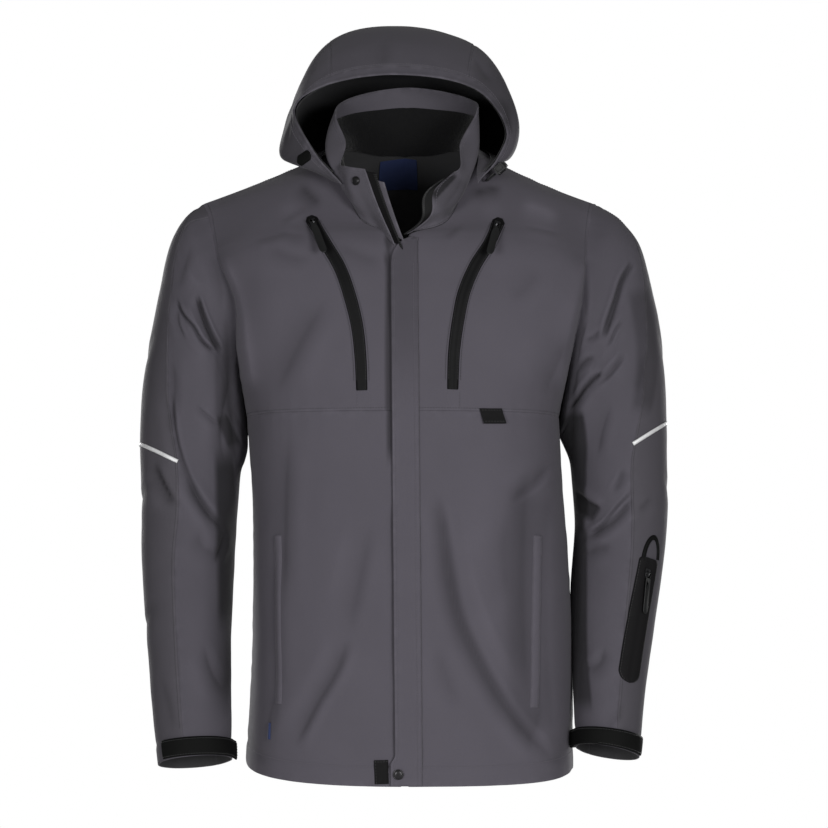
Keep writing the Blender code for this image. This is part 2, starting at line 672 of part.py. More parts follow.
def closed_wall(name, grids, material):
    """A wall as one object, from pairs of grids of outer and inner points.

    Grids that share points along an edge are joined there.
    """
    outer = np.concatenate([pair[0].reshape(-1, 3) for pair in grids])
    inner = np.concatenate([pair[1].reshape(-1, 3) for pair in grids])
    _, first, index = np.unique(np.round(outer, 7), axis=0, return_index=True, return_inverse=True)
    index = index.reshape(-1)
    quads = []
    start = 0
    for pair in grids:
        rows, columns = pair[0].shape[:2]
        grid = index[start:start + rows * columns].reshape(rows, columns)
        start += rows * columns
        quads.append(
            np.stack([grid[:-1, :-1], grid[1:, :-1], grid[1:, 1:], grid[:-1, 1:]], axis=-1).reshape(-1, 4)
        )
    quads = np.concatenate(quads)
    triangles = np.concatenate([quads[:, [0, 1, 2]], quads[:, [0, 2, 3]]])
    inside = len(first)
    points = np.concatenate([outer[first], inner[first]])
    sides = np.concatenate([quads[:, [corner, (corner + 1) % 4]] for corner in range(4)])
    known = {(a, b) for a, b in sides.tolist()}
    faces = triangles.tolist()
    faces += (triangles[:, ::-1] + inside).tolist()
    for a, b in sides.tolist():
        if (b, a) in known:
            continue
        if tuple(points[a]) < tuple(points[b]):
            faces += [[b, a, b + inside], [a, a + inside, b + inside]]
        else:
            faces += [[b, a, a + inside], [b, a + inside, b + inside]]
    mesh = bpy.data.meshes.new(name)
    mesh.from_pydata(points.tolist(), [], faces)
    mesh.update()
    corners = points[np.array(faces)]
    volume = np.einsum("ij,ij->", corners[:, 0], np.cross(corners[:, 1], corners[:, 2]))
    if volume < 0:
        mesh.flip_normals()
    return add_object(name, mesh, material)


def add_object(name, mesh, material):
    """An object for a mesh, in the part's collection."""
    thing = bpy.data.objects.new(name, mesh)
    mesh.materials.append(finish(material))
    bpy.data.collections[PART_NAME].objects.link(thing)
    return thing


def pull_in(grid, edge, gap):
    """The grid with the named edge moved in by a gap."""
    grid = grid.copy()
    line = {"first_a": np.s_[0, :], "last_a": np.s_[-1, :], "first_b": np.s_[:, 0], "last_b": np.s_[:, -1]}
    beside = {"first_a": np.s_[1, :], "last_a": np.s_[-2, :], "first_b": np.s_[:, 1], "last_b": np.s_[:, -2]}
    inward = unit(grid[beside[edge]] - grid[line[edge]])
    grid[line[edge]] += inward * np.reshape(gap, (-1, 1))
    return grid


def rows_of(spans):
    """Places along spans, each given as its start, end and number of cells."""
    places = [np.linspace(start, end, cells + 1)[:-1] for start, end, cells in spans]
    return np.append(np.concatenate(places), spans[-1][1])


def cut_panel(surface, a_range, rows, cells, thickness=CLOTH, lift=0.0, gaps=None):
    """The outer and inner points of a piece of cloth cut from a surface.

    The ends of a_range may be functions of b. The gaps say how far an edge stands
    back from the seam, in metres or as a function of b.
    """
    b = rows_of(rows)
    ends = [end(b) if callable(end) else np.full_like(b, end) for end in a_range]
    share = np.linspace(0, 1, cells + 1)[:, None]
    a = mix(ends[0][None, :], ends[1][None, :], share)
    b = np.repeat(b[None, :], cells + 1, axis=0)
    normals = surface.normal(a, b)
    outer = surface.at(a, b) + normals * lift
    for edge, gap in (gaps or {}).items():
        amount = gap(b[0]) if callable(gap) else gap
        outer = pull_in(outer, edge, amount)
    return outer, outer - normals * thickness


def panel(name, surface, a_range, rows, cells, material, **settings):
    """A piece of cloth cut from a surface."""
    return closed_wall(name, [cut_panel(surface, a_range, rows, cells, **settings)], material)


def front_coordinates(front, x, z):
    """The s and t of points given in the front view."""
    x = np.asarray(x, float)
    z = np.asarray(z, float)
    below_neck = FRONT["place"] <= FRONT_NECK
    s = 2 / math.pi * np.arcsin(np.clip(np.abs(x) / HALF_CHEST, 0, SEARCH_LIMIT))
    t = np.interp(z, FRONT["middle"][below_neck, 2], FRONT["place"][below_neck])
    step = 2 * STEP
    for _ in range(SEARCH_ROUNDS):
        here = front.shape(s, t)
        by_s = (front.shape(s + step, t) - here) / step
        by_t = (front.shape(s, t + step) - here) / step
        miss_x = x - here[..., 0]
        miss_z = z - here[..., 2]
        scale = (by_s[..., 0] * by_t[..., 2] - by_s[..., 2] * by_t[..., 0]) / SEARCH_SHARE
        s = np.clip(s + (miss_x * by_t[..., 2] - miss_z * by_t[..., 0]) / scale, 0.0, SEARCH_LIMIT)
        t = np.clip(t + (miss_z * by_s[..., 0] - miss_x * by_s[..., 2]) / scale, 0.0, SEARCH_LIMIT)
    return s, t


def strip(name, surface, path, half_width, across, material, thickness=TRIM, lift=LIFT):
    """A strip along a path on a surface, made from the surface's points."""
    a = path[:, 0]
    b = path[:, 1]
    by_a = (surface.at(a + STEP, b) - surface.at(a - STEP, b)) / (2 * STEP)
    by_b = (surface.at(a, b + STEP) - surface.at(a, b - STEP)) / (2 * STEP)
    along = np.gradient(surface.at(a, b), axis=0)
    sideways = unit(np.cross(surface.normal(a, b), along)) * np.asarray(half_width, float).reshape(-1, 1)
    turns = []
    for columns, move in zip(np.stack([by_a, by_b], axis=-1), sideways):
        turns.append(np.linalg.lstsq(columns, move, rcond=None)[0])
    turns = np.array(turns)
    spread = np.linspace(-1, 1, across + 1)
    strip_a = a[:, None] + turns[:, :1] * spread
    strip_b = b[:, None] + turns[:, 1:] * spread
    normals = surface.normal(strip_a, strip_b)
    below = surface.at(strip_a, strip_b) + normals * lift
    return closed_wall(name, [(below + normals * thickness, below)], material)


def round_ends(count, length, half_width, smallest=0.30):
    """Places along a strip and its half widths there, with rounded ends."""
    corner = min(half_width / length, 0.49)
    turn = np.linspace(0, math.pi / 2, 5)
    first = corner * (1 - np.cos(turn))
    middle = np.linspace(corner, 1 - corner, count)[1:-1]
    places = np.concatenate([first, middle, 1 - first[::-1]])
    narrow = np.maximum(np.sin(turn), smallest)
    widths = half_width * np.concatenate([narrow, np.ones(len(middle)), narrow[::-1]])
    return places, widths


def path_between(points, places):
    """Points of a smooth path through the given ones, at places from 0 to 1."""
    points = np.array(points)
    return spline(Armhole.shares(points), points, places)


def on_front(front, points, places):
    """A path in the front view as coordinates of the front."""
    line = path_between(points, places)
    return np.column_stack(front_coordinates(front, line[:, 0], line[:, 1]))


def front_strip(name, front, points, half_widths, places, across, material):
    """A strip on a front along a path in the front view."""
    path = on_front(front, points, places)
    return strip(name, front, path, half_widths, across, material)


def local_frame(point, out, along):
    """A matrix whose X runs across, Y along and Z out."""
    out = Vector(out).normalized()
    along = Vector(along)
    along = (along - out * along.dot(out)).normalized()
    across = along.cross(out)
    turn = Matrix((across, along, out)).transposed().to_4x4()
    return Matrix.Translation(Vector(point)) @ turn


def mesh_of_curve(curve, name):
    """The mesh of a filled curve, with its caps joined to its sides."""
    guide = bpy.data.objects.new(name, curve)
    bpy.context.scene.collection.objects.link(guide)
    bpy.context.view_layer.update()
    graph = bpy.context.evaluated_depsgraph_get()
    mesh = bpy.data.meshes.new_from_object(guide.evaluated_get(graph))
    bpy.data.objects.remove(guide, do_unlink=True)
    return mesh


def bridge_curve(name):
    """The wire over a slider that the pull tab's axle turns under."""
    curve = bpy.data.curves.new(name, "CURVE")
    curve.dimensions = "3D"
    curve.bevel_depth = BRIDGE_RADIUS
    curve.bevel_resolution = 1
    curve.use_fill_caps = True
    wire = curve.splines.new("POLY")
    half_heights = (BRIDGE_FOOT, BRIDGE_SHOULDER, BRIDGE_HEIGHT)
    heights = half_heights + half_heights[::-1]
    lengths = (-1.0, -1.0, -BRIDGE_FLAT, BRIDGE_FLAT, 1.0, 1.0)
    wire.points.add(len(heights) - 1)
    for point, length, height in zip(wire.points, lengths, heights):
        point.co = (0.0, length * BRIDGE_HALF_LENGTH, height, 1.0)
    return curve


def add_slider(name, matrix):
    """A zip slider with its bridge."""
    bpy.ops.mesh.primitive_cube_add(size=1.0)
    body = bpy.context.object
    body.name = name
    body.data.transform(Matrix.Diagonal((*SLIDER_SIZE, 1.0)))
    body.data.transform(Matrix.Translation((0, 0, SLIDER_SIZE[2] / 2)))
    body.data.materials.append(finish("moulded"))
    wire_mesh = mesh_of_curve(bridge_curve(name + "_bridge"), name + "_bridge")
    bridge = bpy.data.objects.new(name + "_bridge", wire_mesh)
    bpy.data.collections[PART_NAME + "_cutters"].objects.link(bridge)
    caps = bridge.modifiers.new("caps", "WELD")
    caps.merge_threshold = WELD_DISTANCE
    bridge.hide_render = True
    bridge.display_type = "WIRE"
    bridge.matrix_world = matrix
    body.matrix_world = matrix
    joint = body.modifiers.new("bridge", "BOOLEAN")
    joint.operation = "UNION"
    joint.solver = "EXACT"
    joint.object = bridge
    move_to_part(body)
    return body


def move_to_part(thing):
    """Put an object in the part's collection alone."""
    for collection in list(thing.users_collection):
        collection.objects.unlink(thing)
    bpy.data.collections[PART_NAME].objects.link(thing)


def add_outline(spline_points, curve):
    """A closed outline of a flat curve."""
    outline = curve.splines.new("POLY")
    outline.points.add(len(spline_points) - 1)
    for point, (x, y) in zip(outline.points, spline_points):
        point.co = (x, y, 0.0, 1.0)
    outline.use_cyclic_u = True


def add_pull(name, matrix, length, half):
    """A pull tab whose top bar turns under the slider's bridge."""
    curve = bpy.data.curves.new(name, "CURVE")
    curve.dimensions = "2D"
    curve.fill_mode = "BOTH"
    curve.extrude = PULL_THICKNESS / 2
    end = length - half
    arc = [
        (half * math.cos(turn), end + half * math.sin(turn))
        for turn in np.linspace(0, math.pi, 9)
    ]
    neck = PULL_WINDOW_HALF + PULL_BAR
    shoulder = PULL_WINDOW_END + PULL_SHOULDER
    body = [(neck, -PULL_AXLE_HALF), (neck, PULL_WINDOW_END), (half, shoulder)]
    body += arc
    body += [(-half, shoulder), (-neck, PULL_WINDOW_END), (-neck, -PULL_AXLE_HALF)]
    add_outline(body, curve)
    window = PULL_WINDOW_HALF
    window_end = PULL_WINDOW_END - PULL_BAR
    add_outline(
        [(-window, PULL_AXLE_HALF), (window, PULL_AXLE_HALF), (window, window_end), (-window, window_end)],
        curve,
    )
    tab = bpy.data.objects.new(name, curve)
    curve.materials.append(finish("moulded"))
    bpy.data.collections[PART_NAME].objects.link(tab)
    tab.matrix_world = matrix @ Matrix.Translation((0, 0, AXLE_HEIGHT))
    return tab


def add_zip_ends(name, surface, path, hang, slider_name, pull_name):
    """A slider at the start of a zip's path, and the tab that hangs from it."""
    a, b = path[0]
    later = path[1]
    here = surface.at(a, b)
    out = surface.normal(a, b)
    along = surface.at(later[0], later[1]) - here
    base = here + out * (LIFT + TRIM + SEAM_GAP)
    slider_frame = local_frame(base, out, along)
    add_slider(slider_name, slider_frame)
    down = unit(along) * (1 - hang) + np.array([0.0, 0.0, -hang])
    pull_frame = local_frame(base, out, down)
    add_pull(pull_name, pull_frame, **PULLS[name])


def add_snap(name, surface, place, lift):
    """A round snap fastener lying on a surface."""
    point = surface.at(*place)
    out = surface.normal(*place)
    frame = local_frame(point + out * lift, out, (0.0, 0.0, -1.0))
    mesh = bpy.data.meshes.new(name)
    edges = [(i, i + 1) for i in range(len(SNAP_PROFILE) - 1)]
    points = [(x * SNAP_RADIUS, 0.0, z * SNAP_HEIGHT) for x, z in SNAP_PROFILE]
    mesh.from_pydata(points, edges, [])
    snap = add_object(name, mesh, "snap")
    screw = snap.modifiers.new("turn", "SCREW")
    screw.steps = SNAP_STEPS
    screw.render_steps = SNAP_STEPS
    screw.use_merge_vertices = True
    screw.merge_threshold = WELD_DISTANCE
    snap.matrix_world = frame
    return snap


def build_body(fronts, back):
    """Yokes, lower fronts and the back."""
    half_gap = SEAM_GAP / 2
    curved_gap = CURVED_SEAM_GAP / 2
    half_opening = FRONT_OPENING / 2

    def stands_back(t):
        return mix(half_opening, curved_gap, ease((t - FRONT_NECK) / NECK_BLEND))

    for name, front in fronts.items():
        panel("yoke_" + name, front, (0.0, 1.0), YOKE_ROWS, BODY_CELLS, "shell",
              gaps={"first_a": stands_back, "last_a": half_gap, "first_b": half_gap, "last_b": curved_gap})
        panel("lower_front_" + name, front, (0.0, 1.0), LOWER_ROWS, BODY_CELLS, "shell",
              gaps={"first_a": half_opening, "last_a": half_gap, "last_b": half_gap})
    right = cut_panel(back, (-1.0, RIGHT_OF_MIDDLE), BACK_ROWS, BODY_CELLS,
                      gaps={"first_a": half_gap, "last_b": curved_gap})
    left = cut_panel(back, (0.0, 1.0), BACK_ROWS, BODY_CELLS,
                     gaps={"last_a": half_gap, "last_b": curved_gap})
    closed_wall("back", [right, left], "shell")


def front_seam(place):
    """Where the seam between a sleeve's two panels runs, as a turn round the arm."""
    return mix(SEAM_AT_SHOULDER, SEAM_AT_ELBOW, ease(place * 2))


def build_sleeves(sleeves):
    """Each sleeve's front and back panel, with its cuff strap and reflector."""
    half_gap = CURVED_SEAM_GAP / 2
    gaps = {"first_a": half_gap, "last_a": half_gap, "first_b": ARMHOLE_GAP}
    places = np.linspace(0, 1, BAND_POINTS)
    for name, sleeve in sleeves.items():
        panel("sleeve_front_" + name, sleeve, (SEAM_AT_BACK - 1.0, front_seam), SLEEVE_ROWS,
              SLEEVE_FRONT_CELLS, "shell", gaps=gaps)
        panel("sleeve_back_" + name, sleeve, (front_seam, SEAM_AT_BACK), SLEEVE_ROWS,
              SLEEVE_BACK_CELLS, "shell", gaps=gaps)
        start, end = CUFF_STRAP_TURNS[name]
        strap = np.column_stack([mix(start, end, places), np.full_like(places, CUFF_STRAP_PLACE)])
        strip("cuff_strap_" + name, sleeve, strap, np.full_like(places, CUFF_STRAP_WIDTH / 2), 2,
              "black_trim", thickness=CLOTH)
        elbow = ELBOW[name]
        turns = mix(front_seam(elbow), SEAM_AT_BACK, places)
        band = np.column_stack([turns, np.full_like(places, elbow)])
        strip("reflector_" + name, sleeve, band, np.full_like(places, REFLECTOR_WIDTH / 2), 1,
              "reflective", thickness=REFLECTOR_THICKNESS)


def build_sleeve_pocket(sleeve):
    """The zipped pocket on the left sleeve, with the arch above it."""
    places, widths = round_ends(8, POCKET_LENGTH, POCKET_WIDTH / 2)
    strip("sleeve_pocket", sleeve, path_between(POCKET_PATH, places), widths, 4, "black_trim")
    middle_turn, foot = POCKET_ARCH_MIDDLE
    turn = np.linspace(0, math.pi, BAND_POINTS)
    arch = np.column_stack(
        [middle_turn + POCKET_ARCH_HALF_TURN * np.cos(turn), foot - POCKET_ARCH_LENGTH * np.sin(turn)]
    )
    strip("sleeve_pocket_arch", sleeve, arch, np.full(BAND_POINTS, POCKET_ARCH_WIDTH / 2), 1, "black_trim")
    zip_path = path_between(POCKET_PATH, np.array(POCKET_SLIDER_PLACES))
    add_zip_ends("sleeve", sleeve, zip_path, POCKET_PULL_HANG, "sleeve_zip_slider", "sleeve_zip_pull")


def front_points(fronts, x, z):
    """Points and normals of the fronts at places given in the front view."""
    points = []
    normals = []
    for place_x, place_z in zip(x, z):
        front = fronts["left"] if place_x >= 0 else fronts["right"]
        s, t = front_coordinates(front, place_x, place_z)
        points.append(front.at(s, t))
        normals.append(front.normal(s, t))
    return np.array(points), np.array(normals)


def build_closure(fronts):
    """The storm flap over the front, and the zip behind the opening."""
    flap_z = np.linspace(FLAP_TOP, FLAP_BOTTOM, FLAP_POINTS)
    lean = FLAP_LEAN * (flap_z - FLAP_TOP) / (FLAP_BOTTOM - FLAP_TOP)
    corner = np.clip((FLAP_TOP - flap_z) / FLAP_CORNER_HEIGHT, 0.0, 1.0)
    cut = FLAP_CORNER_WIDTH * (1.0 - np.sqrt(1.0 - (1.0 - corner) ** 2))
    right_edge = FLAP_RIGHT_EDGE + cut + lean
    left_edge = FLAP_LEFT_EDGE + lean
    flap = []
    for across in np.linspace(0, 1, FLAP_COLUMNS):
        flap.append(front_points(fronts, mix(right_edge, left_edge, across), flap_z))
    normals = np.stack([column[1] for column in flap])
    below = np.stack([column[0] for column in flap]) + normals * FLAP_LIFT
    closed_wall("storm_flap", [(below + normals * CLOTH, below)], "shell")
    tape_z = np.linspace(FRONT_ZIP_TOP, FRONT_ZIP_BOTTOM, BAND_POINTS)
    edges = (-FRONT_ZIP_HALF, 0.0, FRONT_ZIP_HALF)
    tape = [front_points(fronts, np.full_like(tape_z, x), tape_z) for x in edges]
    normals = np.stack([column[1] for column in tape])
    outer = np.stack([column[0] for column in tape]) - normals * (CLOTH + FLAP_LIFT)
    closed_wall("front_zip", [(outer, outer - normals * TRIM)], "zip_tape")
    right = fronts["right"]
    add_snap("hem_snap", right, front_coordinates(right, *HEM_SNAP_PLACE), FLAP_LIFT + CLOTH + LIFT)


def build_front_trim(fronts):
    """Chest zips, pocket welts, loop, hem tab and side tag."""
    for name, front in fronts.items():
        places, widths = round_ends(10, CHEST_ZIP_LENGTH, CHEST_ZIP_WIDTH / 2)
        front_strip("chest_zip_" + name, front, CHEST_ZIP_PATH[name], widths, places, 2, "zip_tape")
        ends = on_front(front, CHEST_ZIP_PATH[name], np.array(CHEST_SLIDER_PLACES))
        add_zip_ends("chest_" + name, front, ends, CHEST_PULL_HANG, "chest_slider_" + name,
                     "chest_pull_" + name)
        places = np.linspace(0, 1, WELT_POINTS)
        front_strip("pocket_welt_" + name, front, WELT_PATH[name], np.full(WELT_POINTS, WELT_WIDTH / 2),
                    places, 1, "shell")
    right = fronts["right"]
    left = fronts["left"]
    places = np.linspace(0, 1, TAB_POINTS)
    even = np.full(TAB_POINTS, 0.5)
    front_strip("chest_loop", left, LOOP_PATH, even * LOOP_WIDTH, places, 2, "black_trim")
    front_strip("hem_tab", right, HEM_TAB_PATH, even * HEM_TAB_WIDTH, places, 2, "black_trim")
    front_strip("side_tag", right, SIDE_TAG_PATH, even * SIDE_TAG_WIDTH, places, 1, "label")


def neck_edge(collar, end, rows):
    """Points up a front end of the collar, with the directions out of it and past its end."""
    heights = rows_of(rows)
    toward = NECK_EDGE_STEP * (1.0 - 2.0 * end)
    ends = np.full_like(heights, end)
    edge = collar.at(ends, heights)
    beyond = unit(edge - collar.at(ends + toward, heights))
    return edge, collar.normal(ends + toward, heights), beyond


def edge_strip(name, edge, out, beyond, start, width, material):
    """A flat strip that runs along an edge, standing past it."""
    outer = np.stack([edge + beyond * (start + width * share) for share in (0.0, 0.5, 1.0)])
    facing = np.stack([out] * 3)
    closed_wall(name, [(outer, outer - facing * TRIM)], material)


def build_collar(collar, back):
    """Stand collar, its fleece facing, the neck zip tapes, the guard behind one and the label."""
    half_opening = FRONT_OPENING / 2
    panel("collar", collar, (0.0, 1.0), COLLAR_ROWS, COLLAR_CELLS, "shell",
          gaps={"first_b": COLLAR_GAP, "first_a": half_opening, "last_a": half_opening})
    one_cell = 1.0 / COLLAR_CELLS
    panel("collar_facing", collar, (one_cell, 1.0 - one_cell), FACING_ROWS, COLLAR_CELLS - 2, "lining",
          thickness=LINING, lift=-(CLOTH + FLAP_LIFT))
    for name, end in (("right", 0.0), ("left", 1.0)):
        edge, out, beyond = neck_edge(collar, end, NECK_TAPE_ROWS)
        edge_strip("neck_zip_" + name, edge, out, beyond, LIFT - half_opening, NECK_TAPE_WIDTH, "zip_tape")
    edge, out, beyond = neck_edge(collar, 0.0, GUARD_ROWS)
    edge_strip("zip_guard", edge - out * CLOTH, out, beyond, NECK_TAPE_WIDTH - half_opening, GUARD_WIDTH,
               "shell")
    add_snap("collar_snap", collar, COLLAR_SNAP_PLACE, LIFT)
    panel("neck_label", back, LABEL_SIDES, LABEL_ROWS, 4, "label",
          thickness=LINING, lift=-(CLOTH + FLAP_LIFT))


def build_hood(hood):
    """Hood panels, brim, lining, cord patch and cord lock."""
    gap = CURVED_SEAM_GAP / 2
    for name, (start, end, cells) in HOOD_PANELS.items():
        panel("hood_" + name, hood, (start, end), HOOD_ROWS, cells, "shell",
              gaps={"first_a": gap, "last_a": gap, "first_b": gap})
    panel("hood_brim", hood, (-1.0, 1.0), BRIM_ROWS, HOOD_CELLS, "shell", gaps={"last_b": gap})
    panel("hood_lining", hood, (-HOOD_LINING_END, HOOD_LINING_END), HOOD_LINING_ROWS, HOOD_CELLS - 2,
          "lining", thickness=LINING, lift=-(CLOTH + LIFT))
    places, widths = round_ends(5, CORD_PATCH_LENGTH, CORD_PATCH_WIDTH / 2)
    strip("hood_cord_patch", hood, path_between(CORD_PATCH_PATH, places), widths, 2, "black_trim")
    add_cord_lock(hood)


def add_cord_lock(hood):
    """The cord lock on the left of the hood, and the short elastic loop that it holds."""
    out = hood.normal(*CORD_LOCK_PLACE)
    width, depth, height = CORD_LOCK_SIZE
    centre = hood.at(*CORD_LOCK_PLACE) + out * (depth / 2 + LIFT)
    frame = local_frame(centre, out, (0.0, 0.0, -1.0))
    bpy.ops.mesh.primitive_cube_add(size=1.0)
    lock = bpy.context.object
    lock.name = "hood_cord_lock"
    lock.data.transform(Matrix.Diagonal((width, height, depth, 1.0)))
    lock.data.materials.append(finish("moulded"))
    rounding = lock.modifiers.new("rounding", "BEVEL")
    rounding.width = CORD_LOCK_ROUNDING
    rounding.segments = 2
    lock.matrix_world = frame
    move_to_part(lock)
    curve = bpy.data.curves.new("hood_cord", "CURVE")
    curve.dimensions = "3D"
    curve.bevel_depth = CORD_RADIUS
    curve.bevel_resolution = 2
    curve.use_fill_caps = True
    curve.materials.append(finish("black_trim"))
    wire = curve.splines.new("POLY")
    foot = height / 2 + SEAM_GAP
    leg = [(CORD_LOOP_HALF, foot + rise) for rise in np.linspace(0, CORD_LEG, CORD_LEG_POINTS)[:-1]]
    bend = [
        (CORD_LOOP_HALF * math.cos(turn), foot + CORD_LEG + CORD_LOOP_HALF * math.sin(turn))
        for turn in np.linspace(0, math.pi, BAND_POINTS)
    ]
    route = leg + bend + [(-x, y) for x, y in leg[::-1]]
    wire.points.add(len(route) - 1)
    for point, (x, y) in zip(wire.points, route):
        point.co = (x, y, 0.0, 1.0)
    cord = bpy.data.objects.new("hood_cord", curve)
    bpy.data.collections[PART_NAME].objects.link(cord)
    cord.matrix_world = frame


def main():
    """Build every piece of the jacket."""
    clear_scene()
    for name in (PART_NAME, PART_NAME + "_cutters"):
        collection = bpy.data.collections.new(name)
        bpy.context.scene.collection.children.link(collection)
    fronts, back = torso_surfaces()
    sleeves = {}
    for name, side in SIDES.items():
        sleeves[name] = sleeve_surface(name, Armhole(fronts[name], back, side))
    build_body(fronts, back)
    build_sleeves(sleeves)
    build_sleeve_pocket(sleeves["left"])
    build_closure(fronts)
    build_front_trim(fronts)
    build_collar(collar_surface(fronts, back), back)
    build_hood(hood_surface())


main()
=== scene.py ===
"""Outdoor jacket with a hood, filled out as if worn, dressed in its cloth and trim.

Metres, +Z up, the front faces -Y and the wearer's left is +X. Each cloth piece is a thin
shell on the form of its solid with its creases laid in, and each piece of trim is
made from the points of the cloth that carries it, moved out.
"""

from __future__ import annotations

import logging
import math
from dataclasses import dataclass, field
from enum import Enum
from typing import Any, Callable, Optional, Sequence, Union

import bmesh
import bpy
import numpy as np
from mathutils import Matrix, Vector


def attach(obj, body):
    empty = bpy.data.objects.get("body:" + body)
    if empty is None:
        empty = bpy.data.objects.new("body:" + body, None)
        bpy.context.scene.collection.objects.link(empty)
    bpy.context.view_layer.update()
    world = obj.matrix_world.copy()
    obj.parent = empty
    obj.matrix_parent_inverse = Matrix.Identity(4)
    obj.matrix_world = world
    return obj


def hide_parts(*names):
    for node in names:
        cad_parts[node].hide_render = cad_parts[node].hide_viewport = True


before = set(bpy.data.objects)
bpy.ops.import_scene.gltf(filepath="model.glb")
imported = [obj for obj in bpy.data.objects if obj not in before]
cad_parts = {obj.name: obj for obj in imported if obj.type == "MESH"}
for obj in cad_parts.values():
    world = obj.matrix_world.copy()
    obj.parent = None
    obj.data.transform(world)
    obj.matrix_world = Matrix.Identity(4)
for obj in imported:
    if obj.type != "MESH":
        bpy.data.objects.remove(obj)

Array = np.ndarray
Rows = tuple[tuple[float, ...], ...]
Pair = tuple[float, float]
Triple = tuple[float, float, float]
Path = tuple[Pair, ...]
Shape = Callable[[Array, Array], Array]
Piece = bpy.types.Object
Socket = bpy.types.NodeSocket
Chart = Callable[[Array, Array], tuple[Array, Array]]
End = Union[float, Callable[[Array], Array]]

LOG = logging.getLogger("jacket")
GARMENT = "garment"
STEP = 0.002
MM = 0.001
EDGE_REACH = 0.004
STRIP_WALL = 0.0010


class Hand(Enum):
    """The wearer's side."""

    RIGHT = -1.0
    LEFT = 1.0

    @property
    def word(self) -> str:
        """The side as it stands in a node's name."""
        return self.name.lower()


class View(Enum):
    """The side that a crease is laid from: its two axes, and the way towards the viewer."""

    FRONT = (0, 2, (0.0, -1.0, 0.0))
    BACK = (0, 2, (0.0, 1.0, 0.0))
    RIGHT = (1, 2, (-1.0, 0.0, 0.0))
    LEFT = (1, 2, (1.0, 0.0, 0.0))


class Side(Enum):
    """An edge of a piece of cloth, by the coordinate that it starts or ends."""

    START_A = "start_a"
    END_A = "end_a"
    START_B = "start_b"
    END_B = "end_b"


class Sewing(Enum):
    """How an edge of a panel is finished."""

    SEAM = "seam"
    HEM = "hem"
    BOUND = "bound"


class Hold(Enum):
    """How a sheet of cloth is held."""

    HUNG = "hung"
    LAID = "laid"
    FOLDED = "folded"
    STRETCHED = "stretched"


LONG_SIDES = (Side.START_A, Side.END_A)
ALL_SEAMS = dict.fromkeys(Side, Sewing.SEAM)
HEM_BELOW = {**ALL_SEAMS, Side.START_B: Sewing.HEM}
HEM_AT_END = {**ALL_SEAMS, Side.END_B: Sewing.HEM}
BOUND_ABOVE = {**dict.fromkeys(Side, Sewing.BOUND), Side.START_B: Sewing.SEAM}


def unit(vectors: Array) -> Array:
    """Vectors of length one."""
    return vectors / np.maximum(np.linalg.norm(vectors, axis=-1, keepdims=True), 1e-12)


def ease(value: Array) -> Array:
    """A smooth step from 0 to 1."""
    value = np.clip(value, 0.0, 1.0)
    return value * value * (3.0 - 2.0 * value)


def mix(first: Any, second: Any, share: Any) -> Any:
    """The value between first and second."""
    return first + (second - first) * share


def lengths_along(points: Array) -> Array:
    """The distance along a line of each of its points."""
    return np.concatenate([[0.0], np.cumsum(np.linalg.norm(np.diff(points, axis=0), axis=1))])


def shares_along(points: Array) -> Array:
    """How far along a line each of its points lies, from 0 to 1."""
    lengths = lengths_along(points)
    return lengths / lengths[-1]


def read_columns(at: Array, places: Array, values: Array) -> Array:
    """Each column of the values, read between the places that they belong to."""
    return np.stack([np.interp(at, places, column) for column in values.T], axis=-1)


def square_to(vectors: Array, axis: Array) -> Array:
    """The directions nearest to the vectors that are square to an axis of length one."""
    return unit(vectors - axis * (vectors * axis).sum(-1, keepdims=True))


def mirrored(half: tuple[float, ...]) -> tuple[float, ...]:
    """The values of one half up to the middle, and back again."""
    return half + half[-2::-1]


def local_frame(point: Any, out: Any, along: Any) -> Matrix:
    """A matrix whose X runs across, Y along and Z out."""
    out = Vector(out).normalized()
    along = Vector(along)
    along = (along - out * along.dot(out)).normalized()
    turn = Matrix((along.cross(out), along, out)).transposed().to_4x4()
    return Matrix.Translation(Vector(point)) @ turn


def spline(knots: Any, values: Any, at: Any, corner: Optional[int] = None) -> Array:
    """A smooth curve through the values at the knots.

    Args:
        knots: Places of the values, rising.
        values: (row, column), or (row, place, column) where each place has its own rows.
        at: Places to read.
        corner: The row that keeps a corner.

    Returns:
        The values at each place, with the columns last.
    """
    knots = np.asarray(knots, float)
    values = np.asarray(values, float)
    at = np.asarray(at, float)
    flat = np.clip(at.ravel(), knots[0], knots[-1])
    if values.ndim == 2:
        values = np.repeat(values[:, None, :], len(flat), axis=1)
    spans = np.diff(knots)[:, None, None]
    slopes = np.diff(values, axis=0) / spans
    middle = (slopes[:-1] * spans[1:] + slopes[1:] * spans[:-1]) / (spans[1:] + spans[:-1])
    leaving = np.concatenate([slopes[:1], middle, slopes[-1:]])
    arriving = leaving.copy()
    if corner is not None:
        arriving[corner] = slopes[corner - 1]
        leaving[corner] = slopes[corner]
    row = np.clip(np.searchsorted(knots, flat, side="right") - 1, 0, len(knots) - 2)
    place = np.arange(len(flat))
    span = (knots[row + 1] - knots[row])[:, None]
    u = ((flat - knots[row]) / span[:, 0])[:, None]
    result = (
        values[row, place] * (1 + 2 * u) * (1 - u) ** 2
        + leaving[row, place] * span * u * (1 - u) ** 2
        + values[row + 1, place] * u * u * (3 - 2 * u)
        - arriving[row + 1, place] * span * u * u * (1 - u)
    )
    return result.reshape(at.shape + (values.shape[-1],))


def path_between(points: Any, places: Array) -> Array:
    """Points of a smooth path through the given ones, at places from 0 to 1."""
    points = np.array(points, float)
    return spline(shares_along(points), points, places)


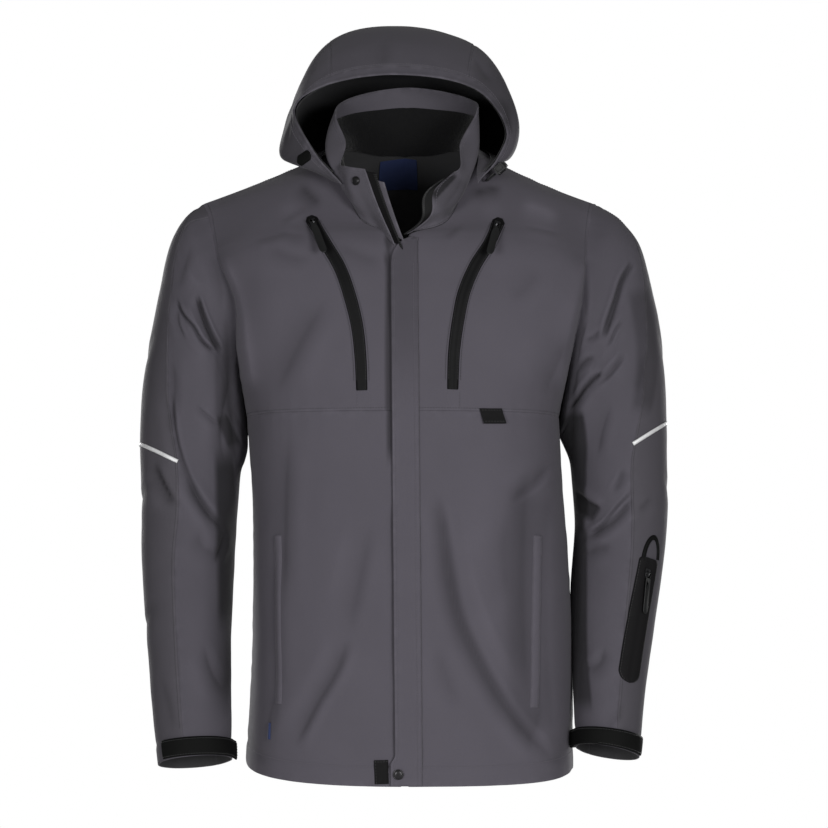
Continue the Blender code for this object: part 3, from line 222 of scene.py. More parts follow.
def unevenness(points: Array, size: float, seed: int = 0) -> Array:
    """Smooth unevenness that is the same at each run.

    Args:
        points: Places in metres.
        size: The distance between neighbouring highs and lows.
        seed: Which unevenness it is.

    Returns:
        Values from -1 to 1.
    """
    cell = points / size + seed * 17.31
    low = np.floor(cell).astype(np.int64)
    share = ease(cell - low)
    total = np.zeros(points.shape[:-1])
    for corner in range(8):
        step = np.array([(corner >> axis) & 1 for axis in range(3)])
        key = (low + step) @ np.array([73856093, 19349663, 83492791])
        key = ((key ^ (key >> 13)) * 1274126177) & 0x7FFFFFFF
        level = ((key ^ (key >> 15)) & 0xFFFF) / 32767.5 - 1.0
        total += level * np.prod(np.where(step == 1, share, 1.0 - share), axis=-1)
    return total


@dataclass(frozen=True)
class Crease:
    """A soft trough, or a ridge where its depth is above zero, along a path in millimetres, with painted
    shade along it in the cloth's colour, or painted light where dark is below zero.
    """

    label: str
    depth: float
    half_width: float
    path: Path
    view: View = View.FRONT
    shoulder: float = 0.30
    lean: float = 0.35
    taper: float = 0.34
    # painted shade at the bottom of the crease, painted light below zero; None takes it from the depth
    dark: Optional[float] = None
    flat: bool = False
    steps: int = 28

    @property
    def shade(self) -> float:
        """How dark the painted shade is at the bottom of the crease; below zero it is painted light."""
        return max(-self.depth, 0.0) * 0.068 if self.dark is None else self.dark

    def lay(self, points: Array, normals: Array) -> tuple[Array, Array]:
        """How far the crease moves each point out, and how much painted shade it lays in the colour.

        Args:
            points: Points of the cloth without creases.
            normals: Directions out of the cloth.

        Returns:
            Distances in metres, above zero out of the cloth, and painted shades, below zero where they are
            painted light.
        """
        first, second, toward = self.view.value
        plane = points[..., (first, second)]
        line = path_between(np.array(self.path) * MM, np.linspace(0, 1, self.steps))
        width = self.half_width * MM
        near = np.all((plane > line.min(0) - 4 * width) & (plane < line.max(0) + 4 * width), axis=-1)
        push = np.zeros(points.shape[:-1])
        shade = np.zeros(points.shape[:-1])
        if not near.any():
            return push, shade
        steps = np.diff(line, axis=0)
        away = plane[near][:, None] - line[:-1]
        along = np.clip(np.einsum("psk,sk->ps", away, steps) / (steps * steps).sum(1), 0, 1)
        distance = np.linalg.norm(away - along[..., None] * steps, axis=-1)
        nearest = distance.argmin(axis=1)
        rows = np.arange(len(nearest))
        beside = away[rows, nearest]
        turn = np.sign(steps[nearest, 0] * beside[:, 1] - steps[nearest, 1] * beside[:, 0])
        share = (nearest + along[rows, nearest]) / len(steps)
        ends = ease(share / self.taper) * ease((1.0 - share) / self.taper)
        across = distance[rows, nearest] / (width * (1.0 - self.lean * turn))
        core = np.exp(-1.7 * (np.sqrt(across ** 2 + 0.02) - 0.14))
        if self.flat:
            core = ease((1.3 - across) / 0.6)
        shoulder = self.shoulder * np.exp(-(((across - 1.9) / 1.0) ** 2))
        # painted shade in the trough, with a painted highlight along its shoulders
        tone = core - 0.8 * shoulder
        facing = normals[near] @ np.array(toward)
        push[near] = self.depth * MM * ends * ease(facing * 1.6) * (core - shoulder)
        # painted shade, fading where the cloth turns away from the crease's view
        shade[near] = self.shade * ends * ease(facing * 1.6 + 0.7) * tone
        return push, shade


def painted_shade_band(*place: Any, **more: Any) -> Crease:
    """A broad even band of painted shade, or painted light where dark is below zero, without shoulders."""
    return Crease(*place, shoulder=0.0, flat=True, **more)


class Surface:
    """A surface with two coordinates, with its creases and its soft unevenness laid in."""

    def __init__(
        self,
        shape: Shape,
        outward: float,
        creases: Sequence[Crease] = (),
        fade: Optional[Shape] = None,
        ripple: float = 0.7,
    ) -> None:
        """Keep the shape and what is laid in it.

        Args:
            shape: Points for two coordinates.
            outward: 1 or -1, the side of the surface that is outside.
            creases: Troughs and ridges.
            fade: Share of the relief for two coordinates, 0 where the cloth is sewn.
            ripple: Height of the unevenness in millimetres.
        """
        self.shape = shape
        self.outward = outward
        self.creases = creases
        self.fade = fade
        self.ripple = ripple
        self.calm: list[tuple[Array, float]] = []

    def base(self, a: Array, b: Array) -> tuple[Array, Array]:
        """Points without relief, and the directions out."""
        points = self.shape(a, b)
        along_a = self.shape(a + STEP, b) - self.shape(a - STEP, b)
        along_b = self.shape(a, b + STEP) - self.shape(a, b - STEP)
        return points, unit(np.cross(along_a, along_b)) * self.outward

    def relief(self, a: Array, b: Array, points: Array, normals: Array) -> tuple[Array, Array]:
        """How far the creases and the unevenness move each point out, and the painted shade that the
        creases lay in the colour, below zero for painted light.
        """
        push = self.ripple * MM * (0.75 * unevenness(points, 0.055) + 0.3 * unevenness(points, 0.021, 1))
        # what is left of the light once each crease's painted shade darkens it; painted light raises it
        # above one
        light = np.ones(points.shape[:-1])
        for crease in self.creases:
            moved, shade = crease.lay(points, normals)
            push = push + moved
            light = light * (1.0 - shade)
        if self.fade is not None:
            push = push * self.fade(a, b)
        for place, radius in self.calm:
            push = push * (1.0 - np.exp(-((points - place) ** 2).sum(-1) / radius ** 2))
        return push, 1.0 - light

    def at(self, a: Any, b: Any) -> tuple[Array, Array]:
        """Points with their relief, and the directions out."""
        a, b = np.broadcast_arrays(np.asarray(a, float), np.asarray(b, float))
        points, normals = self.base(a, b)
        return points + normals * self.relief(a, b, points, normals)[0][..., None], normals

    def keep_calm(self, a: Array, b: Array, radius: float) -> None:
        """Keep the cloth plain round a place."""
        self.calm.append((self.shape(a, b)[0], radius))

    def stand(self, a: Array, b: Array, lift: float) -> Matrix:
        """The frame of a hard piece at the first place, along the way to the second or else down."""
        points, normals = self.base(a, b)
        along = points[1] - points[0] if len(points) > 1 else (0, 0, -1)
        return local_frame(points[0] + normals[0] * lift, normals[0], along)


@dataclass
class TorsoForm:
    """The body's form, from the hem up to the shoulder seam.

    The columns of the rows are the place up the body, the middle's x, y and z, the side's x
    on the wearer's right and left, the side's y and z, roundness and arch.
    """

    front_rows: Rows = (
        (0.00, 0.000, -0.150, -0.7445, 0.1985, 0.2095, 0.005, -0.7270, 1.00, 0.000),
        (0.14, 0.000, -0.153, -0.6400, 0.1922, 0.2095, 0.005, -0.6220, 1.00, 0.000),
        (0.34, 0.000, -0.150, -0.4870, 0.1898, 0.2046, 0.006, -0.4820, 1.00, 0.000),
        (0.48, 0.000, -0.147, -0.3880, 0.1914, 0.1972, 0.012, -0.3860, 1.00, 0.000),
        (0.60, 0.000, -0.145, -0.2905, 0.1990, 0.1930, 0.022, -0.3000, 1.00, 0.000),
        (0.72, 0.000, -0.142, -0.2050, 0.2085, 0.2080, -0.038, -0.2150, 0.95, 0.000),
        (0.82, 0.000, -0.131, -0.1300, 0.2125, 0.2200, -0.046, -0.1500, 0.85, 0.000),
        (0.88, 0.000, -0.113, -0.0780, 0.2320, 0.2250, -0.036, -0.1040, 0.70, 0.004),
        (0.925, 0.055, -0.088, -0.0550, 0.2390, 0.2280, -0.022, -0.0760, 0.40, 0.010),
        (0.96, 0.077, -0.045, 0.0040, 0.2460, 0.2330, -0.002, -0.0475, 0.15, 0.006),
        (1.00, 0.083, 0.012, 0.0380, 0.2540, 0.2380, 0.022, -0.0312, 0.00, 0.000),
    )
    back_rows: Rows = (
        (0.00, 0.000, 0.128, -0.7380, 0.1985, 0.2095, 0.005, -0.7270, 1.00, 0.000),
        (0.14, 0.000, 0.134, -0.6320, 0.1922, 0.2095, 0.005, -0.6220, 1.00, 0.000),
        (0.34, 0.000, 0.118, -0.4860, 0.1898, 0.2046, 0.006, -0.4820, 1.00, 0.000),
        (0.48, 0.000, 0.122, -0.3880, 0.1914, 0.1972, 0.012, -0.3860, 1.00, 0.000),
        (0.60, 0.000, 0.132, -0.2960, 0.1990, 0.1930, 0.022, -0.3000, 1.00, 0.000),
        (0.72, 0.000, 0.140, -0.1950, 0.2060, 0.2050, 0.086, -0.2100, 0.95, 0.000),
        (0.82, 0.000, 0.130, -0.1000, 0.2110, 0.2150, 0.092, -0.1480, 0.85, 0.000),
        (0.88, 0.000, 0.112, -0.0350, 0.2290, 0.2220, 0.086, -0.1020, 0.70, 0.004),
        (0.925, 0.000, 0.084, 0.0360, 0.2370, 0.2260, 0.071, -0.0740, 0.40, 0.008),
        (0.94, 0.030, 0.079, 0.0370, 0.2404, 0.2286, 0.062, -0.0633, 0.29, 0.007),
        (0.96, 0.056, 0.062, 0.0400, 0.2450, 0.2320, 0.050, -0.0465, 0.15, 0.006),
        (1.00, 0.083, 0.012, 0.0380, 0.2540, 0.2380, 0.022, -0.0312, 0.00, 0.000),
    )
    armpit: float = 0.60
    armpit_row: int = 4
    front_neck: float = 0.88
    back_neck: float = 0.925
    fullness: float = 0.08
    half_chest: float = 0.21
    shoulder_sag: dict[Hand, float] = field(default_factory=lambda: {Hand.RIGHT: 0.0024, Hand.LEFT: 0.0046})
    hem_drop: dict[Hand, float] = field(default_factory=lambda: {Hand.RIGHT: -0.0010, Hand.LEFT: 0.0055})
    # Each crease also lays painted shade along itself, or painted light where dark is below zero; the flat
    # rows are even bands of painted shade.
    creases: tuple[Crease, ...] = (
        Crease("neck drag", -1.6, 8, ((-140, -70), (-162, -77), (-190, -82))),
        Crease("cap drag", -1.8, 5, ((-117, -40), (-136, -50), (-154, -60)), dark=0.13),
        Crease("cap drag low", -1.6, 5, ((-156, -69), (-138, -75), (-117, -78)), dark=0.11),
        Crease("chest drag", -2.2, 9, ((-173, -85), (-146, -100), (-112, -107)), dark=0.12),
        Crease("left collar drag", -1.8, 7, ((70, -59), (60, -70), (47, -82)), dark=0.13),
        Crease("right armhole light", 2.4, 16, ((-224, -95), (-200, -156), (-190, -217), (-185, -272)),
               shoulder=0.0, taper=0.16, dark=-0.38),
        Crease("left armhole light", 2.2, 16, ((224, -95), (209, -156), (198, -205), (190, -272)),
               shoulder=0.0, taper=0.16, dark=-0.32),
        painted_shade_band("left side shade", -0.4, 25, ((168, -385), (160, -420), (158, -500), (160, -600), (168, -690)),
             dark=0.17, taper=0.08),
        Crease("collar drag", -2.0, 12, ((-92, -82), (-64, -97), (-23, -113))),
        Crease("right chest", -3.6, 20, ((-90, -145), (-120, -193), (-147, -244), (-163, -278))),
        Crease("right flank", -3.0, 16, ((-141, -302), (-146, -363), (-149, -447), (-147, -544))),
        Crease("right skirt", -4.8, 9, ((-66, -560), (-83, -604), (-107, -644), (-137, -703)), taper=0.24,
               dark=0.30),
        Crease("right rise", -2.4, 12, ((-40, -420), (-54, -490), (-70, -570))),
        Crease("right long", 2.0, 22, ((-66, -399), (-81, -471), (-95, -532))),
        Crease("right hem", -1.8, 12, ((-160, -629), (-168, -671), (-172, -703))),
        Crease("left armhole", -2.8, 16, ((203, -193), (188, -236), (170, -278))),
        Crease("left shoulder", -1.6, 16, ((170, -111), (149, -139), (125, -157))),
        Crease("left hip", -4.4, 8, ((186, -350), (162, -378), (140, -394), (128, -404)), lean=0.5,
               dark=0.26),
        Crease("left side", -1.6, 15, ((126, -409), (122, -471), (128, -527))),
        Crease("left sweep", -4.6, 8, ((38, -380), (49, -447), (55, -493), (67, -543), (86, -584),
               (110, -626), (138, -667), (170, -702), (184, -724)), taper=0.14, dark=0.32),
        Crease("left sweep bed", -3.4, 24, ((38, -390), (55, -493), (86, -584), (138, -667), (168, -699))),
        Crease("left sweep ridge", 2.8, 18, ((69, -423), (84, -496), (106, -556), (139, -616))),
        Crease("left low", -2.0, 12, ((38, -568), (50, -612), (69, -653))),
        painted_shade_band("flap shadow", -3.0, 3.6, ((-20, -50), (-19.5, -200), (-18.5, -362)), taper=0.1, lean=0.0,
             dark=0.54),
        Crease("flap low shadow", -2.6, 4.0, ((-16.5, -400), (-14.5, -560), (-12.5, -704)), taper=0.08,
               shoulder=0.0, lean=-0.3, dark=0.20),
        Crease("left side bed", -3.4, 20, ((156, -320), (149, -400), (146, -500), (149, -600), (155, -690)),
               dark=0.27),
        Crease("right hood shadow", -1.4, 11, ((-132, -8), (-118, -24), (-100, -40)), dark=0.48),
        Crease("left hood shadow", -1.4, 10, ((78, -26), (100, -18), (124, -16)), dark=0.55),
        Crease("right side bed", -2.4, 14, ((-158, -420), (-160, -520), (-158, -610), (-160, -690)),
               dark=0.14),
        Crease("left shoulder light", 0.4, 15, ((138, -34), (164, -40), (196, -54)), shoulder=0.0,
               dark=-0.42),
        Crease("right hem corner", -0.6, 14, ((-190, -680), (-182, -708), (-164, -728)), shoulder=0.0,
               dark=0.2),
        Crease("left hem corner", -0.6, 14, ((200, -680), (194, -708), (178, -730)), shoulder=0.0,
               dark=0.2),
        Crease("left shoulder seam", -0.8, 3, ((142, -64), (168, -68), (196, -74)), dark=0.14),
        Crease("left hem", -2.0, 12, ((173, -641), (161, -677), (149, -708))),
        Crease("right blade", -3.2, 22, ((-130, -140), (-96, -220), (-70, -310)), View.BACK),
        Crease("left blade", -3.0, 20, ((122, -150), (98, -230), (64, -330)), View.BACK),
        Crease("right waist", -2.8, 15, ((-172, -412), (-110, -440), (-44, -452)), View.BACK),
        Crease("left waist", -3.0, 16, ((168, -392), (116, -432), (58, -462)), View.BACK),
        Crease("waist ridge", 2.0, 18, ((-90, -474), (-10, -484), (70, -496)), View.BACK),
        Crease("right fall", -3.4, 18, ((-84, -500), (-96, -600), (-112, -716)), View.BACK),
        Crease("left fall", -3.8, 17, ((62, -520), (84, -610), (112, -708)), View.BACK),
        Crease("middle fall", -2.2, 22, ((-6, -540), (6, -640), (2, -726)), View.BACK),
        Crease("right underarm", -3.4, 12, ((-192, -240), (-164, -300), (-148, -366)), View.BACK),
        Crease("left underarm", -3.2, 12, ((194, -250), (160, -312), (150, -372)), View.BACK),
        Crease("nape", -1.8, 14, ((-70, -64), (0, -82), (72, -66)), View.BACK),
    )

    def __post_init__(self) -> None:
        """Make the surfaces of both fronts and the back."""
        self.front_table = self.columns(self.front_rows)
        self.back_table = self.columns(self.back_rows)
        self.fronts: dict[Hand, Surface] = {}
        for hand in Hand:
            self.fronts[hand] = Surface(self.front_shape(hand), hand.value, self.creases, self.front_fade)
        self.back = Surface(self.back_shape, -1.0, self.creases, self.back_fade)

    @staticmethod
    def columns(rows: Rows) -> dict[Any, Array]:
        """The rows as named columns."""
        table = np.array(rows)
        return {
            "place": table[:, 0],
            "middle": table[:, 1:4],
            Hand.RIGHT: table[:, (4, 6, 7)],
            Hand.LEFT: table[:, (5, 6, 7)],
            "form": table[:, 8:10],
        }

    def point(self, table: dict[Any, Array], hand: Hand, s: Array, t: Array) -> Array:
        """Points at share s from the middle to the side of the sections at places t."""
        middle = spline(table["place"], table["middle"], t)
        edge = spline(table["place"], table[hand], t, self.armpit_row)
        form = spline(table["place"], table["form"], t)
        turn = np.clip(s, 0.0, 1.0) * math.pi / 2
        extra = self.fullness * np.sin(2 * turn)
        across = mix(s, np.sin(turn) + extra * np.cos(turn), form[..., 0])
        inward = mix(s, 1 - np.cos(turn) - extra * np.sin(turn), form[..., 0])
        rise = mix(s, s * s, form[..., 0])
        x = mix(np.maximum(middle[..., 0], 0.0), edge[..., 0], across)
        y = mix(middle[..., 1], edge[..., 1], inward)
        z = mix(middle[..., 2], edge[..., 2], rise) + form[..., 1] * np.sin(2 * turn)
        z = z - self.hem_drop[hand] * ease(s / 0.9) * ease(1.0 - t / 0.16)
        z = z - self.shoulder_sag[hand] * np.sin(2 * turn) * ease((t - 0.88) / 0.10)
        return np.stack([hand.value * x, y, z], axis=-1)

    def front_shape(self, hand: Hand) -> Shape:
        """The shape of one front: s from the middle to the side seam, t up to the shoulder."""
        return lambda s, t: self.point(self.front_table, hand, np.clip(s, 0, 1), np.clip(t, 0, 1))

    def back_shape(self, s: Array, t: Array) -> Array:
        """The back: s from the right side seam, -1, to the left one, 1."""
        s = np.clip(s, -1, 1)
        t = np.clip(t, 0, 1)
        left = self.point(self.back_table, Hand.LEFT, np.abs(s), t)
        right = self.point(self.back_table, Hand.RIGHT, np.abs(s), t)
        return np.where((s >= 0)[..., None], left, right)

    @staticmethod
    def front_fade(s: Array, t: Array) -> Array:
        """Share of the relief on a front."""
        return ease(s / 0.08) * ease((1 - s) / 0.07) * ease((1 - t) / 0.10)

    @staticmethod
    def back_fade(s: Array, t: Array) -> Array:
        """Share of the relief on the back."""
        return ease((1 - np.abs(s)) / 0.07) * ease((1 - t) / 0.10)

    def coordinates(self, hand: Hand, x: Array, z: Array) -> tuple[Array, Array]:
        """The s and t of points of a front, given as the front view shows them."""
        shape = self.fronts[hand].shape
        below = self.front_table["place"] <= self.front_neck
        s = 2 / math.pi * np.arcsin(np.clip(np.abs(x) / self.half_chest, 0, 0.995))
        t = np.interp(z, self.front_table["middle"][below, 2], self.front_table["place"][below])
        step = 2 * STEP
        for _ in range(25):
            here = shape(s, t)
            by_s = (shape(s + step, t) - here) / step
            by_t = (shape(s, t + step) - here) / step
            miss_x = x - here[..., 0]
            miss_z = z - here[..., 2]
            scale = (by_s[..., 0] * by_t[..., 2] - by_s[..., 2] * by_t[..., 0]) / 0.7
            s = np.clip(s + (miss_x * by_t[..., 2] - miss_z * by_t[..., 0]) / scale, 0.0, 0.995)
            t = np.clip(t + (miss_z * by_s[..., 0] - miss_x * by_s[..., 2]) / scale, 0.0, 0.995)
        return s, t

    def front_chart(self, x: Any, z: Any) -> tuple[Array, Array]:
        """Points of the fronts and the directions out, at places of the front view."""
        x, z = np.broadcast_arrays(np.asarray(x, float), np.asarray(z, float))
        found = {hand: self.fronts[hand].at(*self.coordinates(hand, x, z)) for hand in Hand}
        left = (x >= 0)[..., None]
        points = np.where(left, found[Hand.LEFT][0], found[Hand.RIGHT][0])
        return points, np.where(left, found[Hand.LEFT][1], found[Hand.RIGHT][1])


@dataclass
class SleeveForm:
    """One sleeve's form: turns round the arm from its inner side, and the place down to the cuff.

    The columns of the rings are the place, inner x and z, outer x and z, middle y, half depth
    and the rise of the ring's front.
    """

    hand: Hand
    torso: TorsoForm
    rings: Rows
    creases: tuple[Crease, ...]
    cap_turns: Triple = (0.450, 0.425, 0.390)
    lower_turns: Path = ((0.4, 0.328), (0.53, 0.276), (0.7, 0.284), (1.0, 0.285))
    seam_at_back: float = 0.84
    allowance: float = -0.008
    tuck: float = 0.02
    tuck_depth: float = 0.0014
    samples: int = 160

    def __post_init__(self) -> None:
        """Measure the armhole and make the surface."""
        self.places = np.linspace(self.torso.armpit, 1.0, self.samples)
        ends = np.ones(self.samples)
        self.front = self.torso.fronts[self.hand]
        self.front_share = shares_along(self.front.shape(ends, self.places))
        self.back_share = shares_along(self.torso.back.shape(self.hand.value * ends, self.places))
        self.turns = np.linspace(0.0, 1.0, 4 * self.samples + 1)
        self.hidden = self.armhole(self.turns, self.tuck)
        self.surface = Surface(self.shape, -self.hand.value, self.creases, self.fade, ripple=0.9)

    def armhole(self, turn: Array, tuck: float = 0.0) -> Array:
        """Points of the edge that the sleeve is sewn to, or of a line tucked in under the body."""
        turn = np.mod(turn, 1.0)
        share = np.where(turn <= 0.5, turn, 1.0 - turn) * 2.0
        ends = np.full_like(share, 1.0 - tuck)
        sides = []
        for surface, across, shares in ((self.front, ends, self.front_share),
                                        (self.torso.back, self.hand.value * ends, self.back_share)):
            up = np.interp(share, shares, self.places)
            points = surface.shape(across, up)
            if tuck:
                points = points - surface.base(across, up)[1] * self.tuck_depth
            sides.append(points)
        return np.where((turn <= 0.5)[..., None], sides[0], sides[1])

    def tucked(self, turn: Array) -> Array:
        """Points of the seam allowance's edge, under the body."""
        turn = np.mod(turn, 1.0)
        return read_columns(turn, self.turns, self.hidden)

    def shape(self, turn: Array, place: Array) -> Array:
        """Points of the sleeve, from its seam allowance under the body down to the cuff."""
        flat = turn.ravel()
        angle = 2 * math.pi * flat
        inward = 0.5 + 0.5 * np.cos(angle)
        loops = [self.tucked(flat), self.armhole(flat)]
        for _, inner_x, inner_z, outer_x, outer_z, middle_y, depth, rise in self.rings:
            x = self.hand.value * mix(outer_x, inner_x, inward)
            y = middle_y - depth * np.sin(angle)
            z = mix(outer_z, inner_z, inward) + rise * np.sin(angle)
            loops.append(np.stack([x, y, z], axis=-1))
        knots = np.concatenate([[self.allowance, 0.0], np.array(self.rings)[:, 0]])
        return spline(knots, np.array(loops), place, corner=1)

    @staticmethod
    def fade(turn: Array, place: Array) -> Array:
        """Share of the relief on a sleeve."""
        return ease(place / 0.07) * ease((1 - place) / 0.05)

    def front_seam(self, place: Array) -> Array:
        """Where the seam between the two panels runs, as a turn round the arm."""
        places, turns = zip(*zip((0.0, 0.1, 0.2), self.cap_turns), *self.lower_turns)
        return spline(places, np.array(turns)[:, None], place)[..., 0]


RIGHT_RINGS: Rows = (
    (0.07, 0.1975, -0.315, 0.2730, -0.0455, 0.022, 0.074, 0.000),
    (0.15, 0.1972, -0.326, 0.2935, -0.0780, 0.021, 0.078, 0.000),
    (0.25, 0.1975, -0.340, 0.3085, -0.1420, 0.020, 0.079, 0.000),
    (0.35, 0.2010, -0.354, 0.3205, -0.2060, 0.020, 0.077, 0.000),
    (0.45, 0.2065, -0.370, 0.3300, -0.2750, 0.020, 0.074, 0.000),
    (0.53, 0.2088, -0.397, 0.3325, -0.3350, 0.018, 0.071, 0.004),
    (0.60, 0.2112, -0.436, 0.3300, -0.4050, 0.014, 0.068, 0.008),
    (0.70, 0.2145, -0.503, 0.3295, -0.4800, 0.002, 0.063, 0.012),
    (0.80, 0.2165, -0.572, 0.3225, -0.5580, -0.016, 0.058, 0.013),
    (0.90, 0.2155, -0.645, 0.3145, -0.6400, -0.036, 0.053, 0.013),
    (1.00, 0.2135, -0.720, 0.3040, -0.7280, -0.056, 0.048, 0.012),
)
LEFT_RINGS: Rows = (
    (0.07, 0.1928, -0.315, 0.2618, -0.0450, 0.022, 0.074, 0.000),
    (0.15, 0.1948, -0.325, 0.2915, -0.0770, 0.021, 0.078, 0.000),
    (0.25, 0.2000, -0.337, 0.3105, -0.1420, 0.020, 0.079, 0.000),
    (0.35, 0.2060, -0.352, 0.3225, -0.2060, 0.020, 0.077, 0.000),
    (0.45, 0.2088, -0.370, 0.3275, -0.2750, 0.020, 0.074, 0.000),
    (0.53, 0.2112, -0.397, 0.3285, -0.3350, 0.018, 0.071, 0.004),
    (0.60, 0.2134, -0.436, 0.3290, -0.4050, 0.014, 0.068, 0.008),
    (0.70, 0.2070, -0.503, 0.3235, -0.4800, 0.002, 0.063, 0.012),
    (0.80, 0.2068, -0.572, 0.3105, -0.5580, -0.016, 0.058, 0.013),
    (0.90, 0.2085, -0.643, 0.2980, -0.6380, -0.036, 0.053, 0.013),
    (1.00, 0.2110, -0.705, 0.2885, -0.7190, -0.056, 0.048, 0.012),
)
# Each crease also lays painted shade along itself, or painted light where dark is below zero; the flat rows
# are even bands of painted shade.
RIGHT_SLEEVE_CREASES: tuple[Crease, ...] = (
    Crease("upper sharp", -6.6, 5.6, ((-257, -146), (-250, -169), (-237, -198), (-224, -220)), lean=0.55,
           taper=0.2, dark=0.30),
    Crease("upper sharp line", -1.2, 2.8, ((-257, -146), (-249, -170), (-237, -198), (-224, -221)),
           lean=0.3, taper=0.16, dark=0.46, flat=True),
    Crease("upper outer", -4.6, 4.2, ((-284, -150), (-273, -173), (-262, -185), (-250, -204), (-231, -219)),
           lean=0.5, taper=0.2, dark=0.22),
    Crease("upper outer line", -0.8, 2.0, ((-284, -150), (-273, -173), (-262, -185), (-250, -204),
           (-231, -219)), taper=0.16, dark=0.30, flat=True),
    Crease("upper third", -2.4, 3.4, ((-283, -160), (-281, -179), (-270, -206)), dark=0.24),
    Crease("upper ridge", 2.6, 6, ((-270, -154), (-258, -179), (-243, -206)), dark=-0.08),
    painted_shade_band("inner band", -1.2, 10, ((-217, -196), (-218, -230), (-219, -266), (-217, -300), (-211, -330)),
         taper=0.24, dark=0.10),
    painted_shade_band("armpit dark", -1.6, 8, ((-224, -292), (-214, -314), (-205, -340)), taper=0.24, dark=0.6),
    Crease("inner fold", -2.6, 4, ((-260, -283), (-243, -298), (-226, -311)), dark=0.16),
    Crease("cap fold", -2.4, 5, ((-241, -92), (-232, -120), (-226, -148), (-229, -170)), dark=0.16),
    Crease("cap light", 2.0, 9, ((-274, -106), (-262, -126), (-246, -140)), dark=-0.07),
    Crease("cap", -2.6, 8, ((-239, -78), (-230, -115), (-217, -144), (-214, -176))),
    Crease("cap soft", -2.0, 10, ((-265, -80), (-275, -115), (-283, -144))),
    Crease("long", -2.4, 10, ((-290, -216), (-286, -268), (-295, -327))),
    Crease("inner", -3.0, 7, ((-209, -243), (-218, -278), (-226, -327), (-221, -364))),
    Crease("elbow outer", -3.4, 7, ((-312, -354), (-298, -386), (-280, -411))),
    Crease("elbow", -4.6, 7, ((-270, -369), (-253, -401), (-236, -423), (-223, -438))),
    Crease("elbow hook", -3.6, 6, ((-221, -436), (-225, -458), (-236, -483))),
    Crease("elbow low", -2.2, 8, ((-258, -438), (-246, -461), (-228, -470))),
    Crease("forearm", -2.8, 8, ((-248, -574), (-236, -609), (-217, -643))),
    Crease("wrist", -1.8, 8, ((-302, -614), (-290, -653), (-283, -685))),
    Crease("outer shade", -0.2, 34, ((-296, -100), (-312, -200), (-320, -300), (-322, -350)), dark=0.13,
           shoulder=0.0),
    Crease("long curve", -3.8, 5, ((-290, -262), (-287, -290), (-278, -342), (-270, -364), (-259, -389),
           (-234, -426), (-221, -446)), lean=0.5, taper=0.2, dark=0.40),
    Crease("below tape", -3.2, 7, ((-313, -354), (-300, -382), (-286, -408)), taper=0.2, dark=0.34),
    painted_shade_band("inner elbow", -1.0, 11, ((-220, -328), (-219, -370), (-218, -430), (-215, -500), (-213, -570)),
         taper=0.16, dark=0.74),
    Crease("inner upper", -4.4, 13, ((-224, -150), (-217, -220), (-211, -300), (-208, -400)), shoulder=0.1,
           dark=0.62),
    Crease("inner lower", -3.0, 12, ((-208, -380), (-212, -470), (-216, -560), (-220, -680)), shoulder=0.1,
           taper=0.2, dark=0.70),
    Crease("back cap", -3.0, 10, ((-276, -110), (-252, -160), (-226, -206)), View.BACK),
    Crease("back upper", -3.6, 8, ((-300, -214), (-268, -250), (-228, -276)), View.BACK),
    Crease("back elbow", -4.6, 8, ((-322, -352), (-282, -386), (-232, -404)), View.BACK),
    Crease("back elbow low", -4.0, 8, ((-318, -424), (-276, -442), (-236, -474)), View.BACK),
    Crease("back forearm", -3.0, 9, ((-308, -536), (-270, -574), (-236, -622)), View.BACK),
    Crease("side upper", -1.6, 10, ((-20, -190), (20, -230), (52, -290)), View.RIGHT, dark=0.16),
    Crease("side elbow", -1.4, 8, ((-44, -372), (8, -400), (56, -404)), View.RIGHT, dark=0.2),
    Crease("side forearm", -1.2, 9, ((-64, -520), (-20, -556), (20, -566)), View.RIGHT, dark=0.16),
)
